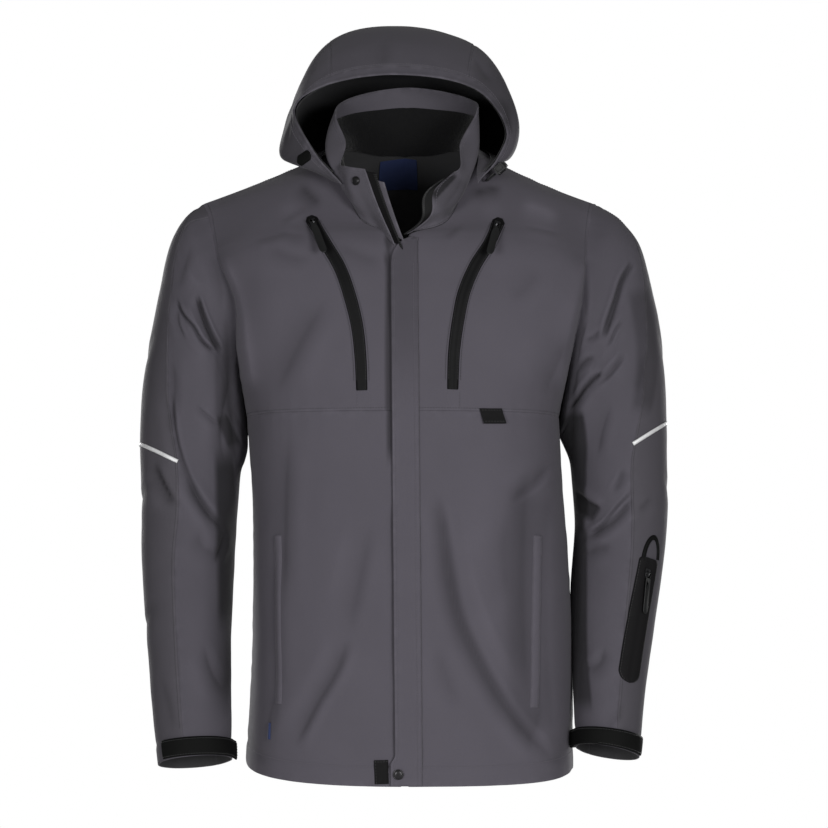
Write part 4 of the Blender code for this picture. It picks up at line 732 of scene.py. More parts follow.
# Each crease also lays painted shade along itself, or painted light where dark is below zero; the flat rows
# are even bands of painted shade.
LEFT_SLEEVE_CREASES: tuple[Crease, ...] = (
    Crease("upper long", -5.6, 6.6, ((284, -106), (269, -130), (262, -151), (252, -179), (245, -200)),
           lean=-0.45, taper=0.2, dark=0.10),
    Crease("upper long band", -1.4, 3.6, ((284, -106), (269, -130), (262, -151), (252, -179), (245, -200)),
           lean=0.0, taper=0.07, dark=0.42, flat=True),
    Crease("upper second", -3.4, 3.2, ((274, -178), (262, -188), (253, -206), (245, -217)), dark=0.30),
    Crease("upper third", -3.4, 3.4, ((274, -218), (262, -235), (250, -249), (235, -259)), dark=0.28),
    Crease("upper ridge", 2.6, 7, ((272, -160), (256, -196), (240, -232)), dark=-0.08),
    Crease("upper fold light", 2.0, 6, ((268, -212), (254, -232), (238, -246)), dark=-0.08),
    Crease("small", -2.8, 3.0, ((219, -204), (230, -201), (241, -191)), dark=0.36),
    Crease("hook", -3.6, 4.6, ((209, -244), (216, -235), (228, -227), (237, -228)), dark=0.44),
    Crease("armpit", -5.6, 5, ((198, -292), (210, -278), (221, -262), (233, -250), (244, -243)), taper=0.16,
           dark=0.30),
    Crease("armpit line", -0.8, 2.2, ((198, -291), (210, -278), (221, -262), (233, -250), (244, -243)),
           taper=0.14, dark=0.46, flat=True),
    Crease("armhole low", -1.2, 4, ((226, -120), (224, -150), (222, -184)), dark=0.26),
    Crease("armhole dark", -1.2, 8, ((222, -176), (214, -200), (208, -230)), dark=0.28, flat=True),
    Crease("outer", -2.4, 10, ((303, -216), (297, -243), (288, -270))),
    Crease("middle", -2.4, 9, ((256, -278), (243, -315), (236, -354))),
    Crease("elbow", -5.4, 5, ((224, -447), (240, -437), (261, -422), (282, -400)), lean=0.4, taper=0.18,
           dark=0.42),
    Crease("elbow line", -0.8, 2.2, ((228, -444), (242, -432), (265, -405), (281, -389)), taper=0.16,
           dark=0.30, flat=True),
    Crease("elbow pocket", -4.6, 10, ((206, -394), (224, -408), (241, -418)), taper=0.24, dark=0.68,
           flat=True),
    Crease("elbow upper", -3.2, 5, ((254, -393), (264, -379), (271, -360)), dark=0.26),
    Crease("elbow outer", -2.6, 5, ((288, -414), (298, -406), (308, -396)), dark=0.22),
    painted_shade_band("inner shade", -1.6, 15.5, ((208, -288), (213, -315), (214, -370), (212, -450)), taper=0.08,
         dark=0.74),
    painted_shade_band("inner low shade", -1.0, 12, ((217, -430), (216, -520), (216, -600), (222, -664)), taper=0.1,
         dark=0.64),
    Crease("elbow low", -2.8, 7, ((219, -470), (234, -461), (256, -457))),
    Crease("forearm", -3.2, 8, ((216, -610), (236, -601), (246, -579))),
    Crease("wrist", -1.8, 8, ((272, -646), (258, -668), (244, -682))),
    painted_shade_band("outer shade", -0.4, 13, ((291, -132), (301, -180), (305, -220), (303, -260), (296, -300)),
         dark=0.32, taper=0.12),
    Crease("inner upper", -4.0, 13, ((218, -190), (208, -260), (205, -340), (207, -420)), shoulder=0.1,
           dark=0.55),
    Crease("inner lower", -4.0, 13, ((208, -330), (212, -420), (211, -500), (211, -600), (213, -680)),
           shoulder=0.1, dark=0.45),
    Crease("back cap", -3.0, 10, ((270, -104), (250, -156), (222, -214)), View.BACK),
    Crease("back upper", -3.6, 8, ((302, -226), (272, -256), (230, -286)), View.BACK),
    Crease("back elbow", -4.6, 8, ((318, -366), (276, -392), (234, -416)), View.BACK),
    Crease("back elbow low", -4.0, 8, ((312, -438), (268, -456), (230, -492)), View.BACK),
    Crease("back forearm", -3.0, 9, ((296, -548), (262, -590), (228, -630)), View.BACK),
    Crease("side upper", -1.4, 10, ((-18, -176), (16, -224), (56, -276)), View.LEFT, dark=0.16),
    Crease("side elbow", -1.4, 8, ((-30, -360), (20, -392), (60, -412)), View.LEFT, dark=0.2),
)


@dataclass
class CollarForm:
    """The stand collar's form, round the neck from its right front end and up from the seam.

    The columns of the top edge are the share of the way round, x, y and z, and the bulge below.
    """

    torso: TorsoForm
    top: Rows = (
        (0.00, -0.047, -0.112, 0.003, 0.004),
        (0.08, -0.072, -0.094, 0.008, 0.006),
        (0.15, -0.0785, -0.068, 0.014, 0.013),
        (0.21, -0.0730, -0.042, 0.041, 0.025),
        (0.27, -0.0855, -0.010, 0.074, 0.014),
        (0.37, -0.076, 0.042, 0.101, 0.004),
        (0.50, 0.003, 0.090, 0.122, 0.004),
        (0.63, 0.082, 0.042, 0.103, 0.004),
        (0.72, 0.090, -0.008, 0.084, 0.006),
        (0.80, 0.0690, -0.045, 0.0425, 0.020),
        (0.86, 0.0675, -0.065, 0.0280, 0.019),
        (0.93, 0.0680, -0.094, 0.0080, 0.015),
        (1.00, 0.0585, -0.112, -0.0030, 0.006),
    )
    bulge_place: float = 1.1
    foot: float = 0.3
    right_foot: Triple = (-0.0085, -0.008, -0.0165)
    left_bend: float = 0.010
    end_reach: float = 0.065
    # Each crease also lays painted shade along itself; the flat rows are even bands of painted shade.
    creases: tuple[Crease, ...] = (
        painted_shade_band("left front shade", -0.2, 15, ((68, -2), (58, -24), (38, -48)), lean=0.0, taper=0.2,
             dark=0.26),
        painted_shade_band("left end dark", -0.2, 4.4, ((62, -1), (53, -11), (43, -22), (33, -33)), lean=0.0, taper=0.12,
             dark=0.80),
        Crease("left fold", -2.0, 7, ((74, -2), (64, -24), (48, -44)), dark=0.16),
        Crease("right fold", -2.0, 6, ((-78, 4), (-74, -18), (-64, -40)), dark=0.16),
    )

    def __post_init__(self) -> None:
        """Measure the neck seam and make the surface."""
        up = np.linspace(self.torso.front_neck, 1.0, 60)
        down = np.linspace(1.0, self.torso.back_neck, 60)[1:]
        sides = []
        for hand in Hand:
            front = self.torso.fronts[hand].shape(0.0 * up, up)
            back = self.torso.back.shape(0.0 * down + hand.value * 1e-9, down)
            sides.append(np.concatenate([front, back]))
        self.seam = np.concatenate([sides[0], sides[1][::-1][1:]])
        self.shares = shares_along(self.seam)
        self.surface = Surface(self.shape, -1.0, self.creases, ripple=0.5)

    def shape(self, v: Array, h: Array) -> Array:
        """Points of the collar."""
        top = np.array(self.top)
        base = read_columns(v, self.shares, self.seam)
        edge = spline(top[:, 0], top[:, 1:4], v)
        out = unit(edge * np.array([1.0, 1.0, 0.0]))
        swell = np.sin(math.pi * np.clip(h, 0, 1) ** self.bulge_place) * ease(h / self.foot)
        right_end = (1.0 - ease(v / self.end_reach))[..., None]
        left_end = 1.0 - ease((1.0 - v) / self.end_reach)
        base = base + right_end * np.array(self.right_foot)
        points = mix(base, edge, h[..., None]) + out * swell[..., None] * spline(top[:, 0], top[:, 4:], v)
        points[..., 0] += self.left_bend * left_end * np.sin(2 * math.pi * np.clip(h, 0, 1))
        return points


@dataclass
class HoodForm:
    """The hood's form: s from its right seam end to its left one, t from the face to the neck.

    The columns of an arch are the place, x y z at the seam, low, wide and brow points, the top's
    y and z, and the lean. The shifts move a wing's seam and low points out, back and up.
    """

    arches: Rows = (
        (0.00, 0.070, -0.093, -0.044, 0.103, -0.066, 0.026, 0.1315, -0.040, 0.068,
         0.102, -0.021, 0.107, -0.021, 0.127, -0.012),
        (0.18, 0.080, -0.066, -0.010, 0.128, -0.042, 0.018, 0.148, -0.018, 0.056,
         0.107, 0.012, 0.142, 0.014, 0.174, 0.004),
        (0.38, 0.090, -0.028, 0.026, 0.138, -0.008, 0.020, 0.152, 0.006, 0.052,
         0.109, 0.048, 0.157, 0.062, 0.197, 0.004),
        (0.60, 0.078, 0.050, 0.046, 0.122, 0.072, 0.026, 0.141, 0.084, 0.060,
         0.102, 0.120, 0.146, 0.145, 0.176, 0.002),
        (0.78, 0.056, 0.078, 0.046, 0.094, 0.104, 0.018, 0.112, 0.138, 0.036,
         0.078, 0.180, 0.078, 0.200, 0.092, 0.000),
        (0.91, 0.044, 0.090, 0.046, 0.068, 0.108, 0.020, 0.076, 0.136, 0.014,
         0.056, 0.166, 0.022, 0.182, 0.024, 0.000),
        (1.00, 0.034, 0.096, 0.046, 0.029, 0.098, 0.043, 0.022, 0.100, 0.041,
         0.012, 0.102, 0.040, 0.103, 0.040, 0.000),
    )
    shifts: tuple[tuple[int, Hand, tuple[Triple, ...]], ...] = (
        (0, Hand.LEFT, ((0.020, 0.012, 0.032), (0.014, 0.004, 0.000))),
        (0, Hand.RIGHT, ((0.0075, 0.0, 0.030), (0.0055, 0.0, -0.004))),
        (1, Hand.LEFT,
         ((0.008, 0.004, 0.014), (0.003, 0.000, 0.002), (-0.004, 0.0, 0.010), (0.003, 0.0, -0.002))),
        (1, Hand.RIGHT,
         ((0.010, 0.000, 0.004), (0.002, 0.0, 0.0), (-0.0012, 0.0, -0.006), (-0.0018, 0.0, -0.0008))),
        (2, Hand.LEFT, ((0.0, 0.0, 0.0), (-0.006, 0.0, 0.0), (-0.004, 0.0, 0.012), (0.005, 0.0, -0.003))),
        (2, Hand.RIGHT,
         ((0.013, 0.000, -0.001), (0.002, 0.0, 0.0), (-0.0012, 0.0, -0.006), (-0.0018, 0.0, -0.0008))),
    )
    stations: tuple[float, ...] = (-1.0, -0.80, -0.60, -0.36, 0.0, 0.36, 0.60, 0.80, 1.0)
    lean_shares: tuple[float, ...] = (0.0, 0.5, 1.0, 0.2)
    middle: float = -0.008
    # Each crease also lays painted shade along itself; the flat rows are even bands of painted shade.
    creases: tuple[Crease, ...] = (
        Crease("right dent", -2.6, 7, ((86, 158), (96, 138), (109, 118))),
        Crease("right low", -2.2, 8, ((134, 103), (131, 75), (136, 48))),
        Crease("left low", -2.2, 8, ((-131, 83), (-144, 60), (-149, 35))),
        painted_shade_band("left shade", -0.3, 24, ((88, 150), (112, 118), (124, 84), (126, 48)), dark=0.24),
        Crease("left wing dark", -0.3, 12, ((116, 106), (127, 80), (131, 48)), shoulder=0.0, dark=0.42),
        painted_shade_band("right wing dark", -0.3, 19, ((-126, 88), (-132, 56), (-138, 30), (-132, 12)), taper=0.16,
             dark=0.36),
        Crease("crown", -1.6, 14, ((-31, 180), (-26, 158), (-31, 135))),
        Crease("back slump", -4.0, 14, ((-92, 70), (-30, 48), (40, 52), (96, 74)), View.BACK),
        Crease("back fold", -3.0, 11, ((-70, 120), (0, 104), (74, 124)), View.BACK),
        Crease("back drop", -2.6, 10, ((-46, 150), (-52, 96), (-40, 40)), View.BACK),
        Crease("right drop", -2.6, 10, ((50, 146), (60, 92), (46, 44)), View.BACK),
        Crease("right cheek", -3.0, 10, ((10, 120), (50, 84), (96, 76)), View.RIGHT),
        Crease("left cheek", -3.0, 10, ((14, 118), (56, 90), (98, 70)), View.LEFT),
    )

    def __post_init__(self) -> None:
        """Set out the arches' points and make the surface."""
        rows = np.array(self.arches)
        arches = []
        for number, row in enumerate(rows):
            stations = row[1:13].reshape(4, 3)
            wings = {}
            for hand in Hand:
                wing = stations * np.array([hand.value, 1.0, 1.0])
                wing[:, 2] += hand.value * row[15] * np.array(self.lean_shares)
                wings[hand] = wing
            for arch, hand, moves in self.shifts:
                if arch == number:
                    for station, (out, back, up) in enumerate(moves):
                        wings[hand][station] += (hand.value * out, back, up)
            top = np.array([[0.0, row[13], row[14]]])
            arches.append(np.concatenate([wings[Hand.RIGHT], top, wings[Hand.LEFT][::-1]]))
        self.points = np.array(arches)
        self.points[:, :, 0] += self.middle * np.sin(np.linspace(0, math.pi, len(self.stations)))
        self.places = rows[:, 0]
        self.surface = Surface(self.shape, 1.0, self.creases, self.fade, ripple=0.8)

    @staticmethod
    def fade(s: Array, t: Array) -> Array:
        """Share of the relief on the hood."""
        return ease(t / 0.10) * ease((1 - t) / 0.1)

    def shape(self, s: Array, t: Array) -> Array:
        """Points of the hood."""
        flat = np.clip(t.ravel(), 0, 1)
        columns = spline(self.places, self.points.reshape(len(self.places), -1), flat)
        stations = columns.reshape(len(flat), len(self.stations), 3).transpose(1, 0, 2)
        return spline(self.stations, stations, s)


class Value:
    """A shader socket that Python's operators join into Math nodes."""

    def __init__(self, graph: "Graph", socket: Socket) -> None:
        """Keep the socket and the graph that it is in."""
        self.graph = graph
        self.socket = socket

    def math(self, operation: str, other: Any = 0.0, swapped: bool = False) -> "Value":
        """The result of a Math node on this value and another."""
        pair = {0: other, 1: self} if swapped else {0: self, 1: other}
        return self.graph.value("ShaderNodeMath", {"operation": operation}, pair)

    def __add__(self, other: Any) -> "Value":
        """This value plus another."""
        return self.math("ADD", other)

    __radd__ = __add__

    def __sub__(self, other: Any) -> "Value":
        """This value less another."""
        return self.math("SUBTRACT", other)

    def __rsub__(self, other: Any) -> "Value":
        """Another value less this one."""
        return self.math("SUBTRACT", other, swapped=True)

    def __mul__(self, other: Any) -> "Value":
        """This value times another."""
        return self.math("MULTIPLY", other)

    __rmul__ = __mul__

    def __pow__(self, other: Any) -> "Value":
        """This value to a power."""
        return self.math("POWER", other)

    def sine(self) -> "Value":
        """The sine of this value."""
        return self.math("SINE")

    def between(self, low: float, high: float) -> "Value":
        """A smooth step of this value from 0 at low to 1 at high."""
        settings = {"interpolation_type": "SMOOTHSTEP"}
        return self.graph.value("ShaderNodeMapRange", settings, {"Value": self, 1: low, 2: high})


class Graph:
    """A material's nodes, with the shader that they feed."""

    def __init__(self, name: str) -> None:
        """Start a material of that name with a Principled shader."""
        self.material = bpy.data.materials.new(name)
        self.material.use_nodes = True
        self.tree = self.material.node_tree
        self.tree.nodes.clear()
        self.shader = self.node("ShaderNodeBsdfPrincipled")
        self.node("ShaderNodeOutputMaterial", {}, {"Surface": self.shader.outputs[0]})

    def node(self, kind: str, settings: Optional[dict] = None,
             inputs: Optional[dict] = None) -> bpy.types.Node:
        """Add a node.

        Args:
            kind: The node's type.
            settings: Properties, which are set first.
            inputs: Values or links of its sockets, by name or number.

        Returns:
            The node.
        """
        node = self.tree.nodes.new(kind)
        for name, setting in (settings or {}).items():
            setattr(node, name, setting)
        for name, given in (inputs or {}).items():
            self.feed(node.inputs[name], given)
        return node

    def feed(self, socket: Socket, given: Any) -> None:
        """Link a socket to what is given, or set its value."""
        if isinstance(given, Value):
            given = given.socket
        if isinstance(given, Socket):
            self.tree.links.new(given, socket)
        else:
            socket.default_value = given

    def value(self, kind: str, settings: Optional[dict] = None, inputs: Optional[dict] = None,
              output: Any = 0) -> Value:
        """Add a node and give one of its outputs as a value."""
        return Value(self, self.node(kind, settings, inputs).outputs[output])

    def place(self) -> Socket:
        """Object coordinates."""
        return self.node("ShaderNodeTexCoord").outputs["Object"]

    def cloth(self) -> tuple[Value, Value]:
        """The cloth's own coordinates in metres, across and along its threads."""
        flat = self.node("ShaderNodeUVMap", {"uv_map": "cloth"})
        parts = self.node("ShaderNodeSeparateXYZ", {}, {0: flat.outputs[0]})
        return Value(self, parts.outputs[0]), Value(self, parts.outputs[1])

    def mark(self, name: str) -> Value:
        """A value that the mesh keeps at its points."""
        return self.value("ShaderNodeAttribute", {"attribute_name": name}, {}, "Fac")

    def noise(self, place: Socket, size: float, detail: float = 2.0, rough: float = 0.5) -> Value:
        """Noise from 0 to 1 whose grains are about size metres."""
        inputs = {"Vector": place, "Scale": 1.0 / size, "Detail": detail, "Roughness": rough}
        return self.value("ShaderNodeTexNoise", {}, inputs, "Fac")

    def shade(self, colour: Any, factor: Value) -> Socket:
        """A colour made lighter or darker by a factor."""
        node = self.node("ShaderNodeVectorMath", {"operation": "SCALE"}, {"Scale": factor})
        self.feed(node.inputs[0], colour)
        return node.outputs[0]

    def bump(self, height: Value, distance: float, strength: float, under: Any = None) -> Socket:
        """A normal bent by a height, over another normal where one is given."""
        inputs = {"Height": height, "Distance": distance, "Strength": strength}
        if under is not None:
            inputs["Normal"] = under
        return self.node("ShaderNodeBump", {}, inputs).outputs[0]

    def surface(self, **inputs: Any) -> None:
        """Feed the shader's sockets, named with underscores for spaces."""
        for name, given in inputs.items():
            self.feed(self.shader.inputs[name.replace("_", " ")], given)


Colour = Triple


@dataclass(frozen=True)
class Finish:
    """What a surface is made of."""

    name: str
    colour: Colour
    roughness: float

    def material(self) -> bpy.types.Material:
        """The finish's material, made once."""
        if self.name not in bpy.data.materials:
            self.paint(Graph(self.name))
        return bpy.data.materials[self.name]

    def paint(self, graph: Graph) -> None:
        """Lay the finish into a graph."""
        raise NotImplementedError


@dataclass(frozen=True)
class WovenCloth(Finish):
    """Matt woven cloth with a fine thread, mottled dye, painted shade and light along its folds, and rubbed
    edges.
    """

    thread: float = 0.00045
    thread_height: float = 0.00010
    mottle: float = 0.16
    speckle: float = 0.16
    sheen: float = 0.10
    fold_shade: float = 1.0
    rub: float = 0.20
    crumple: float = 0.0005

    def paint(self, graph: Graph) -> None:
        """Lay the weave, the dye, the painted shade of the folds and the rubbed edges into a graph."""
        place = graph.place()
        across, along = graph.cloth()
        turns = math.pi / self.thread
        weave = (across * turns).sine() * (along * turns).sine()
        soft = graph.noise(place, 0.070, 3.0)
        fine = graph.noise(place, 0.0016, 2.0, 0.65)
        # painted shade from the creases, painted light where it is below zero
        fold = graph.mark("fold")
        rubbed = graph.mark("edge") * graph.noise(place, 0.012, 2.0).between(0.35, 0.75)
        tone = (1.0 - self.mottle * 0.5 - self.speckle * 0.5) + soft * self.mottle + fine * self.speckle
        # the painted shade and light of the folds darken or lighten the tone; rubbed edges lighten it as
        # wear
        tone = tone * (1.0 - fold * self.fold_shade) + rubbed * self.rub
        tone = tone + weave * 0.03
        crumple = graph.noise(place, 0.011, 3.0, 0.6)
        normal = graph.bump(crumple, self.crumple, 0.30)
        normal = graph.bump(weave * 0.5 + fine * 0.8, self.thread_height, 0.45, normal)
        graph.surface(
            Base_Color=graph.shade(self.colour, tone),
            Roughness=self.roughness + (fine - 0.5) * 0.12 - rubbed * 0.05,
            Normal=normal,
            Sheen_Weight=self.sheen,
            Sheen_Roughness=0.5,
            Specular_IOR_Level=0.28,
        )


@dataclass(frozen=True)
class Fleece(Finish):
    """Short black pile."""

    pile: float = 0.0022

    def paint(self, graph: Graph) -> None:
        """Lay the pile into a graph."""
        place = graph.place()
        clumps = graph.noise(place, 0.006, 3.0, 0.6)
        fibres = graph.noise(place, self.pile * 0.4, 3.0, 0.7)
        tone = 0.55 + clumps * 0.5 + fibres * 0.4
        normal = graph.bump(clumps + fibres * 0.6, self.pile * 0.5, 0.8)
        graph.surface(
            Base_Color=graph.shade(self.colour, tone),
            Roughness=self.roughness - fibres * 0.08,
            Normal=normal,
            Sheen_Weight=0.25,
            Sheen_Roughness=0.4,
            Specular_IOR_Level=0.15,
        )


@dataclass(frozen=True)
class CoatedCloth(Finish):
    """Smooth black coated cloth with a faint grain and a soft gloss."""

    grain: float = 0.0009
    gloss: float = 0.25

    def paint(self, graph: Graph) -> None:
        """Lay the grain and the coat into a graph."""
        place = graph.place()
        grain = graph.noise(place, self.grain, 2.0, 0.6)
        dust = graph.noise(place, 0.03, 3.0)
        worn = graph.mark("edge") * graph.noise(place, 0.006, 2.0).between(0.4, 0.8)
        tone = 0.80 + dust * 0.25 + grain * 0.2 + worn * 0.6
        graph.surface(
            Base_Color=graph.shade(self.colour, tone),
            Roughness=self.roughness + dust * 0.12 - worn * 0.08,
            Normal=graph.bump(grain, 0.00012, 0.5),
            Coat_Weight=self.gloss,
            Coat_Roughness=0.45,
            Specular_IOR_Level=0.14,
        )


@dataclass(frozen=True)
class Webbing(Finish):
    """Ribbed black webbing."""

    rib: float = 0.0013

    def paint(self, graph: Graph) -> None:
        """Lay the ribs into a graph."""
        place = graph.place()
        across, along = graph.cloth()
        turns = 2 * math.pi / self.rib
        ribs = (along * turns).sine() * (0.7 + (across * (turns * 0.5)).sine() * 0.3)
        fuzz = graph.noise(place, 0.0012, 3.0, 0.7)
        worn = graph.mark("edge") * graph.noise(place, 0.005, 2.0).between(0.4, 0.8)
        tone = 0.78 + ribs * 0.14 + fuzz * 0.34 + worn * 0.5
        graph.surface(
            Base_Color=graph.shade(self.colour, tone),
            Roughness=self.roughness - fuzz * 0.1,
            Normal=graph.bump(ribs * 0.5 + fuzz * 0.5, 0.0003, 0.6),
            Sheen_Weight=0.05,
            Specular_IOR_Level=0.20,
        )


@dataclass(frozen=True)
class Moulded(Finish):
    """Moulded plastic or dark plated metal with fine wear."""

    metal: float = 0.0
    wear: float = 0.5

    def paint(self, graph: Graph) -> None:
        """Lay the grain and the wear into a graph."""
        place = graph.place()
        grain = graph.noise(place, 0.0006, 2.0)
        smear = graph.noise(place, 0.004, 3.0)
        tone = (1.0 - self.wear * 0.3) + smear * self.wear + grain * 0.15
        graph.surface(
            Base_Color=graph.shade(self.colour, tone),
            Roughness=self.roughness + (smear - 0.5) * 0.25,
            Normal=graph.bump(grain, 0.00005, 0.5),
            Metallic=self.metal,
            Specular_IOR_Level=0.45,
        )


@dataclass(frozen=True)
class Reflective(Finish):
    """Silver tape with tiny beads."""

    def paint(self, graph: Graph) -> None:
        """Lay the beads into a graph."""
        place = graph.place()
        beads = graph.value("ShaderNodeTexVoronoi", {}, {"Vector": place, "Scale": 1400.0}, "Distance")
        dull = graph.noise(place, 0.008, 3.0)
        tone = 0.72 + beads * 0.35 + dull * 0.2
        graph.surface(
            Base_Color=graph.shade(self.colour, tone),
            Roughness=self.roughness + dull * 0.2,
            Normal=graph.bump(beads, 0.0001, 0.5),
            Metallic=0.15,
            Specular_IOR_Level=0.5,
        )


@dataclass(frozen=True)
class Thread(Finish):
    """Sewing thread."""

    def paint(self, graph: Graph) -> None:
        """Lay the thread's twist into a graph."""
        place = graph.place()
        twist = graph.noise(place, 0.0005, 2.0)
        faded = graph.noise(place, 0.05, 2.0)
        graph.surface(
            Base_Color=graph.shade(self.colour, 0.75 + twist * 0.3 + faded * 0.2),
            Roughness=self.roughness,
            Normal=graph.bump(twist, 0.0001, 0.5),
            Sheen_Weight=0.1,
        )


SHELL = WovenCloth("shell_cloth", (0.088, 0.081, 0.099), 0.82)
# Darker copies of the shell cloth for the hood and the sleeves: painted shade.
SHELL_HOOD_PAINTED_SHADE = WovenCloth("shell_cloth_hood", (0.072, 0.067, 0.080), 0.82)
SHELL_SLEEVE_PAINTED_SHADE = WovenCloth("shell_cloth_sleeve", (0.080, 0.074, 0.090), 0.82)
# The outer sleeve panels' cloth: partly its own darker tone, partly painted shade.
SHELL_OUTER_TONE_AND_SHADE = WovenCloth("shell_cloth_outer", (0.071, 0.066, 0.078), 0.80, sheen=0.06)
SHELL_BOUND = WovenCloth("shell_cloth_bound", (0.084, 0.078, 0.094), 0.82, rub=0.55)
INNER = WovenCloth("inner_cloth", (0.042, 0.042, 0.044), 0.88, sheen=0.05, crumple=0.0004)
FLEECE = Fleece("fleece_facing", (0.0075, 0.0075, 0.0080), 0.95)
HOOD_INNER = WovenCloth("hood_lining_cloth", (0.030, 0.030, 0.032), 0.85, thread=0.0009,
                        thread_height=0.0002)
COATED = CoatedCloth("coated_zip_cloth", (0.0042, 0.0041, 0.0045), 0.62, gloss=0.03)
BLACK_CLOTH = CoatedCloth("black_overlay_cloth", (0.0036, 0.0038, 0.0036), 0.72, grain=0.0012, gloss=0.0)
WEBBING = Webbing("black_webbing", (0.0058, 0.0055, 0.0060), 0.85)
OVERLAY = CoatedCloth("sleeve_overlay_cloth", (0.0078, 0.0074, 0.0080), 0.72, grain=0.0012, gloss=0.0)
CORD_PLASTIC = Moulded("black_cord_plastic", (0.0040, 0.0040, 0.0044), 0.55, wear=0.3)
CORD = Moulded("black_elastic", (0.012, 0.012, 0.013), 0.65, wear=0.3)
PLASTIC = Moulded("black_moulded_plastic", (0.0095, 0.0098, 0.0100), 0.48)
ZIP_METAL = Moulded("dark_zip_metal", (0.060, 0.060, 0.063), 0.34, metal=0.85)
SNAP_METAL = Moulded("dark_snap_metal", (0.034, 0.033, 0.035), 0.34, metal=0.8)
SILVER = Reflective("silver_tape", (0.80, 0.80, 0.81), 0.38)
LABEL_CLOTH = WovenCloth("plain_label_cloth", (0.018, 0.030, 0.095), 0.75, thread=0.0006, speckle=0.3,
                         sheen=0.2)
THREAD_GREY = Thread("charcoal_thread", (0.100, 0.093, 0.112), 0.7)
THREAD_DARK = Thread("dark_thread", (0.040, 0.038, 0.045), 0.7)
THREAD_BLACK = Thread("black_thread", (0.020, 0.020, 0.021), 0.6)


@dataclass
class Cloth:
    """A grid of cloth points with the directions out, before it is made an object."""

    points: Array
    normals: Array
    # painted shade of each point, below zero for painted light; it becomes the mesh's fold mark
    fold: Optional[Array] = None

    def lengths(self, axis: int) -> Array:
        """Distances along the grid from its start, on one axis."""
        steps = np.linalg.norm(np.diff(self.points, axis=axis), axis=-1)
        start = np.zeros_like(np.take(steps, [0], axis=axis))
        return np.concatenate([start, np.cumsum(steps, axis=axis)], axis=axis)

    def from_edge(self, side: Side) -> Array:
        """Each point's distance from an edge, along the grid."""
        axis = 0 if side in (Side.START_A, Side.END_A) else 1
        lengths = self.lengths(axis)
        if side in (Side.END_A, Side.END_B):
            lengths = np.take(lengths, [-1], axis=axis) - lengths
        return lengths

    def edge_distance(self) -> Array:
        """Each point's distance from the nearest edge."""
        return np.min([self.from_edge(side) for side in Side], axis=0)

    def inset(self, side: Side, depth: float) -> tuple[Array, Array]:
        """The line that runs a distance in from an edge.

        Args:
            side: The edge.
            depth: The distance in metres.

        Returns:
            The line's points and the directions out there.
        """
        lengths = self.from_edge(side)
        points, normals = self.points, self.normals
        if side in (Side.START_B, Side.END_B):
            lengths, points, normals = lengths.T, points.swapaxes(0, 1), normals.swapaxes(0, 1)
        if side in (Side.END_A, Side.END_B):
            lengths, points, normals = lengths[::-1], points[::-1], normals[::-1]
        after = np.clip((lengths < depth).sum(axis=0), 1, len(lengths) - 1)
        column = np.arange(lengths.shape[1])
        before = lengths[after - 1, column]
        share = ((depth - before) / np.maximum(lengths[after, column] - before, 1e-9))[:, None]
        line = mix(points[after - 1, column], points[after, column], share)
        return line, unit(mix(normals[after - 1, column], normals[after, column], share))

    def flat_size(self) -> Triple:
        """Width, length and area of the cut, measured along the cloth."""
        width = float(self.lengths(0)[-1].max())
        length = float(self.lengths(1)[:, -1].max())
        corner = self.points
        first = np.cross(corner[1:, :-1] - corner[:-1, :-1], corner[:-1, 1:] - corner[:-1, :-1])
        second = np.cross(corner[1:, :-1] - corner[1:, 1:], corner[:-1, 1:] - corner[1:, 1:])
        area = 0.5 * (np.linalg.norm(first, axis=-1).sum() + np.linalg.norm(second, axis=-1).sum())
        return width, length, float(area)


def graded(cells: int, near: tuple[float, ...] = (0.3, 0.7)) -> Array:
    """Even places from 0 to 1 with closer ones at both ends."""
    cell = 1.0 / cells
    extra = np.array(near) * cell
    return np.sort(np.concatenate([np.linspace(0, 1, cells + 1), extra, 1 - extra]))


